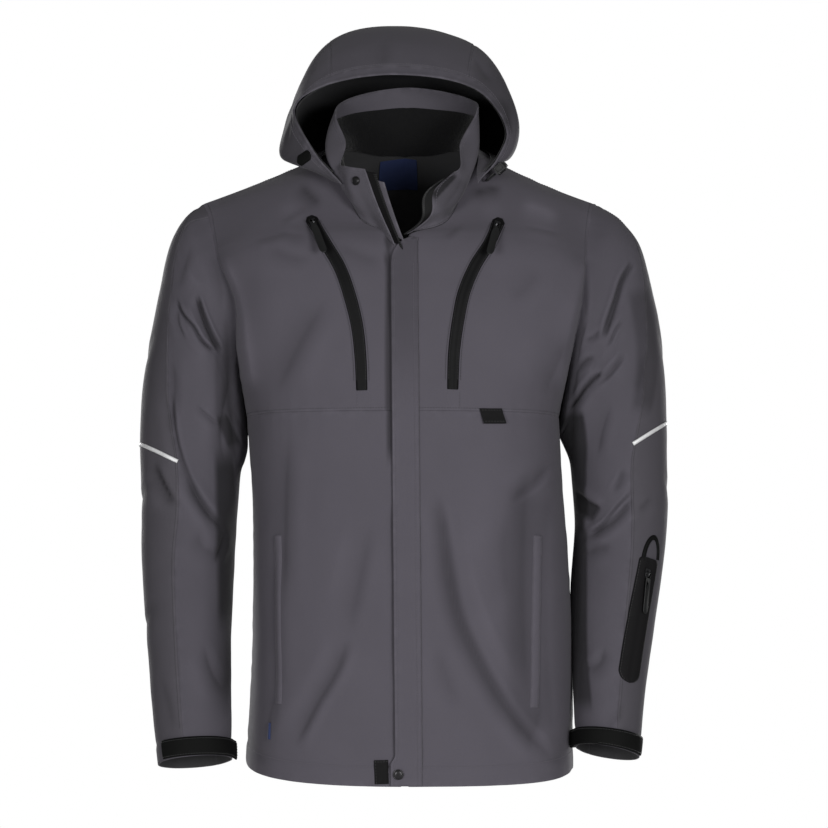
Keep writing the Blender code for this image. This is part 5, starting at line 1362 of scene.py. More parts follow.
@dataclass
class Panel:
    """A piece cut from a surface, with its edges finished."""

    surface: Surface
    ends: tuple[End, End]
    rows: Pair
    cells: tuple[int, int]
    edges: dict[Side, Sewing]
    lift: float = 0.0
    roll: float = 0.0004
    roll_reach: float = 0.0030
    pucker: float = 0.0008
    pucker_reach: float = 0.018
    pucker_size: float = 0.011
    hem: float = 0.024

    def cut(self) -> Cloth:
        """The piece's points with its creases and finished edges.

        Returns:
            The cloth, with each point's painted shade from its creases, below zero where they paint light.
        """
        b = mix(self.rows[0], self.rows[1], graded(self.cells[1]))
        ends = [end(b) if callable(end) else np.full_like(b, end) for end in self.ends]
        a = mix(ends[0][None, :], ends[1][None, :], graded(self.cells[0])[:, None])
        b = np.repeat(b[None, :], len(a), axis=0)
        base, normals = self.surface.base(a, b)
        # the creases' painted shade, below zero for painted light, as the fold
        push, fold = self.surface.relief(a, b, base, normals)
        plain = Cloth(base, normals)
        for side, sewing in self.edges.items():
            push = push + self.sewn(sewing, plain.from_edge(side), self.edge_points(base, side))
        return Cloth(base + normals * (push + self.lift)[..., None], normals, fold)

    @staticmethod
    def edge_points(base: Array, side: Side) -> Array:
        """The points of an edge, for each point that lies in from it."""
        pick = {Side.START_A: base[:1], Side.END_A: base[-1:], Side.START_B: base[:, :1],
                Side.END_B: base[:, -1:]}
        return np.broadcast_to(pick[side], base.shape)

    def sewn(self, sewing: Sewing, distance: Array, edge: Array) -> Array:
        """How far the finish of an edge moves the points near it."""
        turned = np.clip(1.0 - distance / self.roll_reach, 0.0, 1.0) ** 2
        if sewing is Sewing.SEAM:
            pucker = unevenness(edge, self.pucker_size, 2) * np.exp(-distance / self.pucker_reach)
            return self.pucker * pucker * ease(distance / 0.004) - self.roll * turned
        if sewing is Sewing.HEM:
            band = 0.0006 * (1.0 - ease((distance - self.hem + 0.002) / 0.004))
            dent = 0.0008 * np.exp(-(((distance - self.hem) / 0.0022) ** 2))
            wave = 0.0006 * unevenness(edge, 0.016, 3) * np.exp(-distance / 0.03)
            return band - dent + wave - 0.6 * self.roll * turned
        return 0.0008 * np.exp(-(((distance - 0.0022) / 0.0020) ** 2)) - 0.5 * self.roll * turned


def ribbon(chart: Chart, path: Array, half_widths: Any, heights: Sequence[float]) -> Cloth:
    """A strip along a path, made from the points of what it lies on.

    Args:
        chart: Points and directions out for two coordinates of the carrier.
        path: The path in those coordinates.
        half_widths: Half the strip's width at each point of the path, in metres.
        heights: How high the strip stands at each column across it, in metres.

    Returns:
        The strip's cloth: across it first, then along the path.
    """
    p, q = path[:, 0], path[:, 1]
    by_p = (chart(p + STEP, q)[0] - chart(p - STEP, q)[0]) / (2 * STEP)
    by_q = (chart(p, q + STEP)[0] - chart(p, q - STEP)[0]) / (2 * STEP)
    middle, out = chart(p, q)
    reach = np.broadcast_to(half_widths, len(p))[:, None]
    sideways = unit(np.cross(out, np.gradient(middle, axis=0))) * reach
    frames = np.stack([by_p, by_q], axis=-1)
    turns = np.array([np.linalg.lstsq(columns, move, rcond=None)[0]
                      for columns, move in zip(frames, sideways)])
    spread = np.linspace(-1, 1, len(heights))[:, None]
    points, normals = chart(p + turns[:, 0] * spread, q + turns[:, 1] * spread)
    return Cloth(points + normals * np.array(heights)[:, None, None], normals)


def round_ends(count: int, length: float, half_width: float, smallest: float = 0.12) -> tuple[Array, Array]:
    """Places along a strip and its half widths there, with rounded ends."""
    corner = min(half_width / length, 0.49)
    turn = np.linspace(0, math.pi / 2, 9)
    first = corner * (1 - np.cos(turn))
    middle = np.linspace(corner, 1 - corner, count)[1:-1]
    narrow = np.maximum(np.sin(turn), smallest)
    widths = half_width * np.concatenate([narrow, np.ones(len(middle)), narrow[::-1]])
    return np.concatenate([first, middle, 1 - first[::-1]]), widths


def hang(piece: Piece, nodes: Sequence[str] = (), body: str = GARMENT) -> Piece:
    """Let a piece ride on a body and stand for its nodes."""
    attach(piece, body)
    if nodes:
        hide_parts(*nodes)
    LOG.info("%s rides on %s", piece.name, body)
    return piece


def add_mesh(name: str, points: Array, faces: Array, finish: Finish) -> Piece:
    """An object of points and faces in one finish."""
    mesh = bpy.data.meshes.new(name)
    mesh.from_pydata(points.tolist(), [], faces.tolist())
    piece = bpy.data.objects.new(name, mesh)
    mesh.materials.append(finish.material())
    bpy.context.scene.collection.objects.link(piece)
    return piece


def sew(name: str, grids: Sequence[Cloth], finish: Finish, wall: float,
        inner: Optional[Finish] = None) -> Piece:
    """Make an object of one or more grids of cloth, joined where they share points.

    Args:
        name: The piece's name.
        grids: The grids.
        finish: The outer finish.
        wall: The cloth's thickness, laid inwards.
        inner: The finish of the inside, where it is another one.

    Returns:
        The piece.
    """
    points = np.concatenate([grid.points.reshape(-1, 3) for grid in grids])
    normals = np.concatenate([grid.normals.reshape(-1, 3) for grid in grids])
    quads, flats, painted_shades, edges = [], [], [], []
    start = 0
    for grid in grids:
        rows, columns = grid.points.shape[:2]
        index = start + np.arange(rows * columns).reshape(rows, columns)
        start += rows * columns
        corners = [index[:-1, :-1], index[1:, :-1], index[1:, 1:], index[:-1, 1:]]
        quads.append(np.stack(corners, axis=-1).reshape(-1, 4))
        across, along = grid.lengths(0), grid.lengths(1)
        flats.append(np.stack([across - across[-1:] / 2, along], axis=-1).reshape(-1, 2))
        painted_shades.append(np.zeros(rows * columns) if grid.fold is None else grid.fold.ravel())
        edges.append(np.exp(-grid.edge_distance().ravel() / EDGE_REACH))
    quads = np.concatenate(quads)
    corners = points[quads]
    facing = np.cross(corners[:, 2] - corners[:, 0], corners[:, 3] - corners[:, 1])
    if np.einsum("ij,ij->", facing, normals[quads[:, 0]]) < 0:
        quads = quads[:, ::-1]
    _, first, index = np.unique(np.round(points, 7), axis=0, return_index=True, return_inverse=True)
    piece = add_mesh(name, points[first], index.reshape(-1)[quads], finish)
    mesh = piece.data
    mesh.polygons.foreach_set("use_smooth", np.ones(len(quads), bool))
    flat = mesh.uv_layers.new(name="cloth")
    flat.data.foreach_set("uv", np.concatenate(flats)[quads.ravel()].astype(np.float32).ravel())
    # the fold mark holds painted shade and painted light, the edge mark the nearness to an edge for wear
    for label, values in (("fold", painted_shades), ("edge", edges)):
        mark = mesh.attributes.new(label, "FLOAT", "POINT")
        mark.data.foreach_set("value", np.concatenate(values)[first].astype(np.float32))
    thick = piece.modifiers.new("wall", "SOLIDIFY")
    thick.thickness = wall
    thick.offset = -1.0
    if inner is not None:
        mesh.materials.append(inner.material())
        thick.material_offset = 1
    return piece


def make(node: str, word: str, grids: Sequence[Cloth], finish: Finish, wall: float,
         hold: Optional[Hold] = None, rests_on: Sequence[str] = (), inner: Optional[Finish] = None) -> None:
    """Sew the piece that stands for a node, hang it on the garment and state its cut.

    Args:
        node: The CAD node.
        word: The end of the piece's name.
        grids: The piece's cloth.
        finish: The outer finish.
        wall: The cloth's thickness.
        hold: How the sheet is held; a strip too narrow for it has none, and its cut is not logged.
        rests_on: The pieces that carry it; not used.
        inner: The finish of the inside, where it is another one.
    """
    piece = hang(sew(f"{node}_{word}", grids, finish, wall, inner), [node])
    if hold is None:
        return
    sizes = [grid.flat_size() for grid in grids]
    width = sum(size[0] for size in sizes)
    length = max(size[1] for size in sizes)
    area = min(sum(size[2] for size in sizes), width * length)
    LOG.info("%s is cut %.0f by %.0f mm", piece.name, width / MM, length / MM)


class Bench:
    """A hard piece on the bench: a primitive that edit-mode tools shape."""

    def __init__(self, name: str, finish: Finish) -> None:
        """Take the object that was just added, and open it for editing."""
        self.piece = bpy.context.view_layer.objects.active
        self.piece.name = name
        self.piece.data.name = name
        self.piece.data.materials.clear()
        self.piece.data.materials.append(finish.material())
        bpy.ops.object.mode_set(mode="EDIT")
        bpy.ops.mesh.select_mode(type="FACE")

    @staticmethod
    def clear() -> None:
        """Leave nothing selected."""
        bpy.ops.object.select_all(action="DESELECT")

    @classmethod
    def block(cls, name: str, finish: Finish, size: Triple, centre: Triple = (0.0, 0.0, 0.0)) -> "Bench":
        """Start from a block of that size and place."""
        cls.clear()
        bpy.ops.mesh.primitive_cube_add(size=1.0, location=centre, scale=size)
        bpy.ops.object.transform_apply(location=True, rotation=True, scale=True)
        return cls(name, finish)

    @classmethod
    def disc(cls, name: str, finish: Finish, radius: float, sides: int = 28) -> "Bench":
        """Start from a flat disc."""
        cls.clear()
        bpy.ops.mesh.primitive_circle_add(vertices=sides, radius=radius, fill_type="NGON")
        return cls(name, finish)

    @classmethod
    def half_ring(cls, name: str, finish: Finish, radius: float, wire: float) -> "Bench":
        """Start from the upper half of a ring that stands across X."""
        cls.clear()
        bpy.ops.mesh.primitive_torus_add(major_radius=radius, minor_radius=wire, major_segments=28,
                                         minor_segments=10, rotation=(0, math.pi / 2, 0))
        bpy.ops.object.transform_apply(location=True, rotation=True, scale=True)
        bench = cls(name, finish)
        bpy.ops.mesh.select_all(action="SELECT")
        bpy.ops.mesh.bisect(plane_co=(0, 0, 0), plane_no=(0, 0, 1), clear_inner=True, use_fill=True)
        bpy.ops.mesh.select_all(action="SELECT")
        return bench

    @classmethod
    def copy_of(cls, node: str, name: str, finish: Finish) -> "Bench":
        """Start from a merged copy of a CAD node."""
        cls.clear()
        piece = bpy.data.objects.new(name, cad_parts[node].data.copy())
        bpy.context.scene.collection.objects.link(piece)
        bpy.context.view_layer.objects.active = piece
        piece.select_set(True)
        bench = cls(name, finish)
        bpy.ops.mesh.select_all(action="SELECT")
        bpy.ops.mesh.remove_doubles(threshold=1e-6)
        bpy.ops.mesh.dissolve_limited(angle_limit=0.01)
        return bench

    def facing(self, way: Any, least: float = 0.9, both: bool = False) -> "Bench":
        """Select the faces that look a given way, or that way and the opposite one."""
        bpy.ops.mesh.select_all(action="DESELECT")
        for face in bmesh.from_edit_mesh(self.piece.data).faces:
            look = face.normal.dot(Vector(way))
            face.select_set((abs(look) if both else look) > least)
        bmesh.update_edit_mesh(self.piece.data)
        return self

    def widest_face(self) -> Vector:
        """The direction out of the widest face, or against it, that looks to the front."""
        faces = bmesh.from_edit_mesh(self.piece.data).faces
        out = max(faces, key=lambda face: face.calc_area()).normal.copy()
        return -out if out.y > 0 else out

    def raise_by(self, x: float, y: float, z: float) -> "Bench":
        """Extrude what is selected."""
        bpy.ops.mesh.extrude_region_move(TRANSFORM_OT_translate={"value": (x, y, z)})
        return self

    def inset(self, width: float, depth: float = 0.0, even: bool = True) -> "Bench":
        """Inset what is selected."""
        bpy.ops.mesh.inset(thickness=width, depth=depth, use_even_offset=even)
        return self

    def scale(self, x: float, y: float, z: float) -> "Bench":
        """Resize what is selected."""
        bpy.ops.transform.resize(value=(x, y, z))
        return self

    def soften(self, width: float, segments: int = 2, angle: float = 0.5) -> "Bench":
        """Round the edges that are sharper than an angle."""
        bpy.ops.mesh.select_mode(type="EDGE")
        bpy.ops.mesh.select_all(action="DESELECT")
        bpy.ops.mesh.edges_select_sharp(sharpness=angle)
        bpy.ops.mesh.bevel(offset=width, segments=segments, affect="EDGES", clamp_overlap=True)
        bpy.ops.mesh.select_mode(type="FACE")
        return self

    def done(self, matrix: Optional[Matrix] = None, angle: float = 0.7) -> Piece:
        """Close the piece and put it in its place, in its mesh."""
        bpy.ops.mesh.select_all(action="SELECT")
        bpy.ops.mesh.normals_make_consistent(inside=False)
        bpy.ops.object.mode_set(mode="OBJECT")
        bpy.ops.object.shade_smooth_by_angle(angle=angle)
        if matrix is not None:
            self.piece.data.transform(matrix)
        self.clear()
        return self.piece


def join(first: Piece, second: Piece) -> Piece:
    """Make one object of two."""
    Bench.clear()
    first.select_set(True)
    second.select_set(True)
    bpy.context.view_layer.objects.active = first
    bpy.ops.object.join()
    Bench.clear()
    return first


class Copies:
    """Copies of one small shape, joined into one piece."""

    def __init__(self, shaped: Piece) -> None:
        """Keep the points and triangles of a bench piece, which is then removed."""
        mesh = shaped.data
        mesh.calc_loop_triangles()
        self.points = np.array([vertex.co for vertex in mesh.vertices])
        self.faces = np.array([triangle.vertices for triangle in mesh.loop_triangles])
        self.placed: list[Array] = []
        bpy.data.objects.remove(shaped, do_unlink=True)

    def place(self, x: Array, y: Array, z: Array, middles: Array) -> None:
        """Add a copy at each middle, with its axes along the given directions."""
        turned = np.einsum("pk,nkj->npj", self.points, np.stack([x, y, z], axis=1))
        self.placed.append((turned + middles[:, None]).reshape(-1, 3))

    def joined(self, name: str, finish: Finish) -> Piece:
        """All the copies as one object."""
        points = np.concatenate(self.placed)
        starts = np.arange(0, len(points), len(self.points))
        faces = self.faces[None] + starts[:, None, None]
        return add_mesh(name, points, faces.reshape(-1, 3), finish)


class Stitching(Copies):
    """Rows of stitches in one thread. A stitch is shaped once and copied along each row."""

    pitch: float = 0.0034
    length: float = 0.0026
    thickness: float = 0.00062
    lift: float = 0.00012
    wander: float = 0.00008

    def __init__(self, name: str, thread: Finish) -> None:
        """Shape one stitch."""
        self.name = name
        self.thread = thread
        thick = self.thickness
        stitch = Bench.block("stitch", thread, (thick, self.length * 0.55, thick * 0.8))
        for end in (1.0, -1.0):
            stitch.facing((0, end, 0)).raise_by(0, end * self.length * 0.22, -thick * 0.25)
            stitch.scale(0.45, 1.0, 0.45)
        super().__init__(stitch.done())

    def row(self, line: tuple[Array, Array], start: float = 0.0, end: float = 1.0) -> None:
        """Lay a row along a line.

        Args:
            line: The line's points and the directions out there.
            start: Where the row starts, as a share of the line.
            end: Where the row ends.
        """
        points, normals = line
        along = lengths_along(points)
        count = int((end - start) * along[-1] / self.pitch)
        if count < 2:
            return
        at = mix(start, end, (np.arange(count) + 0.5) / count) * along[-1]
        step = self.pitch * 0.3
        middle = read_columns(at, along, points)
        ahead = unit(read_columns(at + step, along, points) - read_columns(at - step, along, points))
        out = square_to(read_columns(at, along, normals), ahead)
        across = np.cross(ahead, out)
        wander = unevenness(middle * 3.0, 0.002, 5)[:, None] * self.wander
        self.place(across, ahead, out, middle + out * self.lift + across * wander)

    def beside(self, cloth: Cloth, sides: Sequence[Side], depth: float, start: float = 0.0,
               end: float = 1.0) -> None:
        """Lay a row a distance in from each of some edges of a piece of cloth."""
        for side in sides:
            self.row(cloth.inset(side, depth), start, end)

    def build(self, slot: str) -> None:
        """Make all rows one piece."""
        piece = self.joined(self.name, self.thread)
        piece.data.polygons.foreach_set("use_smooth", np.ones(len(piece.data.polygons), bool))
        LOG.info("%s has %d rows", self.name, len(self.placed))
        hang(piece)


@dataclass
class Threads:
    """The sewing threads of the whole jacket."""

    grey: Stitching = field(default_factory=lambda: Stitching("shell_stitching", THREAD_GREY))
    dark: Stitching = field(default_factory=lambda: Stitching("seam_stitching", THREAD_DARK))
    black: Stitching = field(default_factory=lambda: Stitching("trim_stitching", THREAD_BLACK))

    def build(self) -> None:
        """Make the three threads' pieces."""
        self.grey.build("shell")
        self.dark.build("shell")
        self.black.build("black_trim")


@dataclass
class Body:
    """Yokes, lower fronts and back."""

    torso: TorsoForm
    threads: Threads
    wall: float = 0.0016
    opening: float = 0.012
    right_opening: Pair = (0.021, 0.031)
    yoke_cells: tuple[int, int] = (86, 112)
    lower_cells: tuple[int, int] = (92, 164)
    back_cells: tuple[int, int] = (44, 130)
    hem_stitch: float = 0.024
    seam_stitch: float = 0.0032
    armhole_stitch: float = 0.0055
    armhole_share: float = 0.62

    def build(self) -> None:
        """Make the five panels and their topstitching."""
        for hand in Hand:
            self.front(hand)
        self.back()

    def front_edge(self, hand: Hand) -> Callable[[Array], Array]:
        """Where a front starts beside the zip, up to the neck seam."""
        wide = self.right_opening if hand is Hand.RIGHT else (self.opening, self.opening)
        neck = self.torso.front_neck
        return lambda t: np.interp(t, (neck - 0.045, neck - 0.02, neck, neck + 0.02),
                                   (self.opening, *wide, 0.0))

    def front(self, hand: Hand) -> None:
        """Make one yoke and one lower front."""
        surface = self.torso.fronts[hand]
        ends = (self.front_edge(hand), 1.0)
        yoke = Panel(surface, ends, (self.torso.armpit, 1.0), self.yoke_cells, ALL_SEAMS).cut()
        lower = Panel(surface, ends, (0.0, self.torso.armpit), self.lower_cells, HEM_BELOW).cut()
        for node, cloth in (("yoke_", yoke), ("lower_front_", lower)):
            make(node + hand.word, "cloth", [cloth], SHELL, self.wall, Hold.HUNG, inner=INNER)
        self.threads.dark.beside(yoke, [Side.START_B], self.seam_stitch, 0.03, 0.98)
        self.threads.dark.beside(yoke, [Side.END_A], self.armhole_stitch)
        self.threads.grey.beside(lower, [Side.START_B], self.hem_stitch, 0.02)

    def back(self) -> None:
        """Make the back of its two halves, joined down the middle below the neck."""
        halves = []
        for ends, outer, inner in (((-1.0, -1e-9), Side.START_A, Side.END_A),
                                   ((0.0, 1.0), Side.END_A, Side.START_A)):
            edges = {side: sewing for side, sewing in HEM_BELOW.items() if side is not inner}
            halves.append((Panel(self.torso.back, ends, (0.0, 1.0), self.back_cells, edges).cut(), outer))
        make("back", "cloth", [cloth for cloth, _ in halves], SHELL, self.wall, Hold.HUNG,
             inner=INNER)
        for cloth, outer in halves:
            self.threads.grey.beside(cloth, [Side.START_B], self.hem_stitch)
            self.threads.dark.beside(cloth, [outer], self.armhole_stitch, self.armhole_share)
            self.threads.dark.beside(cloth, [Side.END_B], self.seam_stitch)


@dataclass
class Closure:
    """The storm flap over the front, the zip behind it, the hem tab and the snap."""

    torso: TorsoForm
    threads: Threads
    right_edge: float = -0.0170
    left_edge: float = 0.0160
    lean: float = 0.006
    top: float = -0.082
    bottom: float = -0.7435
    corner_height: float = 0.034
    corner_width: float = 0.026
    kick: float = 0.0055
    kick_place: float = -0.706
    lift: float = 0.0034
    free_share: float = 0.35
    stand: float = 0.0011
    stand_wave: float = 0.0009
    sewn_share: float = 0.09
    sewn_drop: float = 0.0030
    channel_place: float = 0.80
    channel_depth: float = 0.0005
    slack: float = 0.0004
    # painted shade over the flap's upper part
    shade: float = 0.25
    zip_half: float = 0.010
    zip_ends: Pair = (-0.081, -0.738)
    zip_heights: tuple[float, ...] = (-0.0036, -0.0036, -0.0030, -0.0026)
    tab_path: Path = ((-0.0285, -0.7120), (-0.0275, -0.7410))
    tab_half: float = 0.0085
    tab_heights: tuple[float, ...] = (0.0012, 0.0019, 0.0021, 0.0021)
    tab_stitch: float = 0.002
    snap_place: Pair = (-0.0075, -0.7290)
    snap_lift: float = 0.0044

    def build(self) -> None:
        """Make the closure's pieces."""
        self.flap()
        self.tape()
        self.tab()
        place = self.torso.coordinates(Hand.RIGHT, *np.array([self.snap_place]).T)
        Snap("hem_snap", 0.0064, 0.0026).build(self.torso.fronts[Hand.RIGHT].stand(*place, self.snap_lift))

    def flap(self) -> None:
        """Make the flap, with its free edge standing a little off the front and painted shade over its
        upper part.
        """
        z = np.linspace(self.top, self.bottom, 250)
        lean = self.lean * (z - self.top) / (self.bottom - self.top)
        corner = np.clip((self.top - z) / self.corner_height, 0.0, 1.0)
        cut = self.corner_width * (1.0 - np.sqrt(1.0 - (1.0 - corner) ** 2))
        kick = self.kick * ease((self.kick_place - z) / 0.012)
        across = graded(16)[:, None]
        x = mix(self.right_edge + cut + lean - kick, self.left_edge + lean, across)
        z = np.repeat(z[None, :], len(x), axis=0)
        points, normals = self.torso.front_chart(x, z)
        down = np.stack([0.0 * z, 0.0 * z, z], axis=-1)
        free = np.clip(1.0 - across / self.free_share, 0.0, 1.0) ** 2
        stand = free * (self.stand + self.stand_wave * unevenness(down, 0.048, 7))
        sewn = -self.sewn_drop * np.clip(1.0 - (1.0 - across) / self.sewn_share, 0.0, 1.0) ** 2
        channel = -self.channel_depth * np.exp(-(((across - self.channel_place) / 0.05) ** 2))
        soft = self.slack * unevenness(np.stack([x * 2, 0.0 * z, z], axis=-1), 0.03, 8)
        # painted shade, full on the flap's upper part and gone lower down
        shade = self.shade * ease((z + 0.31) / 0.14)
        flap = Cloth(points + normals * (self.lift + stand + sewn + channel + soft)[..., None], normals,
                     shade)
        make("storm_flap", "cloth", [flap], SHELL, 0.0018, Hold.STRETCHED,
             ["yoke_left_cloth", "lower_front_left_cloth"])
        for side, depth, start in ((Side.END_A, 0.0024, 0.05), (Side.END_A, 0.0074, 0.05),
                                   (Side.START_A, 0.004, 0.06)):
            self.threads.grey.beside(flap, [side], depth, start)

    def tape(self) -> None:
        """Make the zip tape behind the opening."""
        z = np.linspace(*self.zip_ends, 130)
        path = np.column_stack([0.0 * z, z])
        tape = ribbon(self.torso.front_chart, path, self.zip_half, mirrored(self.zip_heights))
        make("front_zip", "tape", [tape], COATED, STRIP_WALL, Hold.STRETCHED)

    def tab(self) -> None:
        """Make the black tab beside the flap at the hem."""
        path = path_between(self.tab_path, np.linspace(0, 1, 18))
        tab = ribbon(self.torso.front_chart, path, self.tab_half, mirrored(self.tab_heights))
        make("hem_tab", "cloth", [tab], WEBBING, STRIP_WALL, Hold.LAID,
             ["lower_front_right_cloth"])
        self.threads.black.beside(tab, [Side.START_A, Side.START_B], self.tab_stitch)


@dataclass
class Snap:
    """A round snap fastener with a domed cap and a rolled rim."""

    name: str
    radius: float
    height: float

    def build(self, matrix: Matrix) -> None:
        """Shape the snap from a disc and put it in its place."""
        r, h = self.radius, self.height
        cap = Bench.disc(self.name + "_cap", SNAP_METAL, r)
        cap.raise_by(0, 0, h * 0.45).inset(r * 0.10).raise_by(0, 0, h * 0.25).inset(r * 0.08)
        cap.raise_by(0, 0, -h * 0.22).inset(r * 0.12).raise_by(0, 0, h * 0.38).inset(r * 0.22, h * 0.10)
        cap.inset(r * 0.22, h * 0.04)
        hang(cap.soften(r * 0.035).done(matrix, 0.9), [self.name])


@dataclass
class ZipEnd:
    """A zip's slider with its bridge, and the pull tab that turns under it."""

    slider: str
    pull: str
    size: Triple = (0.0080, 0.0110, 0.0022)
    bridge_half: float = 0.0040
    bridge_foot: float = 0.0010
    bridge_rise: float = 0.0044
    wire: float = 0.0007
    stretch: float = 1.0

    def build(self, matrix: Matrix) -> None:
        """Shape the slider and the tab."""
        x, y, z = self.size
        body = Bench.block(self.slider + "_body", ZIP_METAL, self.size, (0, 0, z / 2))
        body.facing((0, 1, 0)).scale(0.62, 1.0, 0.8)
        body.facing((0, -1, 0)).raise_by(0, -y * 0.10, 0).scale(0.8, 1.0, 0.6)
        body.facing((0, 0, 1)).inset(x * 0.10).inset(x * 0.06, -z * 0.12)
        plate = body.soften(x * 0.05).done()
        arch = Bench.half_ring(self.slider + "_arch", ZIP_METAL, self.bridge_half, self.wire)
        arch.scale(1.6, 1.0, self.bridge_rise / self.bridge_half)
        piece = join(plate, arch.done(Matrix.Translation((0, 0, self.bridge_foot))))
        piece.data.transform(matrix)
        shift = self.middle_of(bpy.data.objects[self.slider]) - self.middle_of(piece)
        piece.data.transform(Matrix.Translation(shift))
        hang(piece, [self.slider])
        self.tab(matrix)

    @staticmethod
    def middle_of(piece: Piece) -> Vector:
        """The middle of the box round a piece."""
        corners = [piece.matrix_world @ corner.co for corner in piece.data.vertices]
        return Vector([(min(axis) + max(axis)) / 2 for axis in zip(*corners)])

    def tab(self, matrix: Matrix) -> None:
        """Dress the pull tab from its solid, with soft edges and a sunk grip."""
        tab = Bench.copy_of(self.pull, self.pull + "_grip", PLASTIC)
        out = tab.widest_face()
        tab.soften(0.00030, 2, 0.6)
        tab.facing(out, 0.98).inset(0.0007, 0.0, False).inset(0.0003, -0.00022, False)
        longer = matrix @ Matrix.Diagonal((1.0, self.stretch, 1.0, 1.0)) @ matrix.inverted()
        hang(tab.done(longer, 0.6), [self.pull], self.pull + "_tab")


@dataclass
class ChestPockets:
    """The two slanted chest zips with their sliders and tabs."""

    torso: TorsoForm
    threads: Threads
    paths: dict[Hand, Path] = field(default_factory=lambda: {
        Hand.RIGHT: ((-0.1165, -0.0533), (-0.0956, -0.0885), (-0.0786, -0.1177), (-0.0665, -0.1517),
                     (-0.0580, -0.1857), (-0.0531, -0.2294), (-0.0517, -0.2664)),
        Hand.LEFT: ((0.1165, -0.0557), (0.1048, -0.0837), (0.0853, -0.1153), (0.0720, -0.1469),
                    (0.0647, -0.1809), (0.0598, -0.2173), (0.0579, -0.2652)),
    })
    box_sides: dict[Hand, Pair] = field(default_factory=lambda: {
        Hand.RIGHT: (-0.0575, -0.0420), Hand.LEFT: (0.0510, 0.0665)})
    box_tops: dict[Hand, float] = field(default_factory=lambda: {Hand.RIGHT: -0.268, Hand.LEFT: -0.266})
    box_bottom: float = -0.2875
    half: float = 0.0072
    widths: Path = ((0.0, 0.55), (0.018, 1.06), (0.05, 1.06), (0.09, 0.97), (0.5, 1.05), (0.994, 0.94),
                    (1.0, 0.88))
    end_places: tuple[float, ...] = (0.003, 0.008, 0.018, 0.994, 0.998)
    heights: tuple[float, ...] = (0.0008, 0.0019, 0.0022, 0.0021, 0.0014)
    border: float = 0.0022
    border_lift: float = 0.0003
    stitch: float = 0.0016
    slider_places: Pair = (0.055, 0.11)
    slider_lift: float = 0.0025
    tab_stretch: float = 1.75
    calm_place: float = 0.08
    calm_radius: float = 0.03

    def calm(self) -> None:
        """Keep the cloth plain under the sliders."""
        for hand in Hand:
            spot = path_between(self.paths[hand], np.array([self.calm_place]))
            self.torso.fronts[hand].keep_calm(*self.torso.coordinates(hand, *spot.T), self.calm_radius)

    def build(self) -> None:
        """Make both zips."""
        for hand in Hand:
            self.zip(hand)

    def zip(self, hand: Hand) -> None:
        """Make one zip, its stitching, slider and tab."""
        chart = self.torso.front_chart
        places = np.sort(np.concatenate([np.linspace(0, 1, 80), self.end_places]))
        path = path_between(self.paths[hand], places)
        strip = ribbon(chart, path, self.half * np.interp(places, *zip(*self.widths)),
                       mirrored(self.heights))
        make("chest_zip_" + hand.word, "strip", [strip], COATED, STRIP_WALL, Hold.LAID,
             ["yoke_" + hand.word + "_cloth"])
        border = ribbon(chart, path[6:-6], self.half + self.border, (self.border_lift,) * 3)
        self.threads.dark.beside(border, LONG_SIDES, 0.0001)
        self.threads.black.beside(strip, LONG_SIDES, self.stitch, 0.05, 0.95)
        self.box(hand)
        ends = path_between(self.paths[hand], np.array(self.slider_places))
        place = self.torso.coordinates(hand, *ends.T)
        slider = ZipEnd("chest_slider_" + hand.word, "chest_pull_" + hand.word, stretch=self.tab_stretch)
        slider.build(self.torso.fronts[hand].stand(*place, self.slider_lift))

    def box(self, hand: Hand) -> None:
        """Stitch the open box below a zip: its two sides and its top."""
        (x0, x1), z0, z1 = self.box_sides[hand], self.box_tops[hand], self.box_bottom
        share = np.linspace(0, 1, 12)
        for (xa, za), (xb, zb) in (((x0, z0), (x0, z1)), ((x1, z0), (x1, z1)), ((x0, z0), (x1, z0))):
            self.threads.grey.row(self.torso.front_chart(mix(xa, xb, share), mix(za, zb, share)))


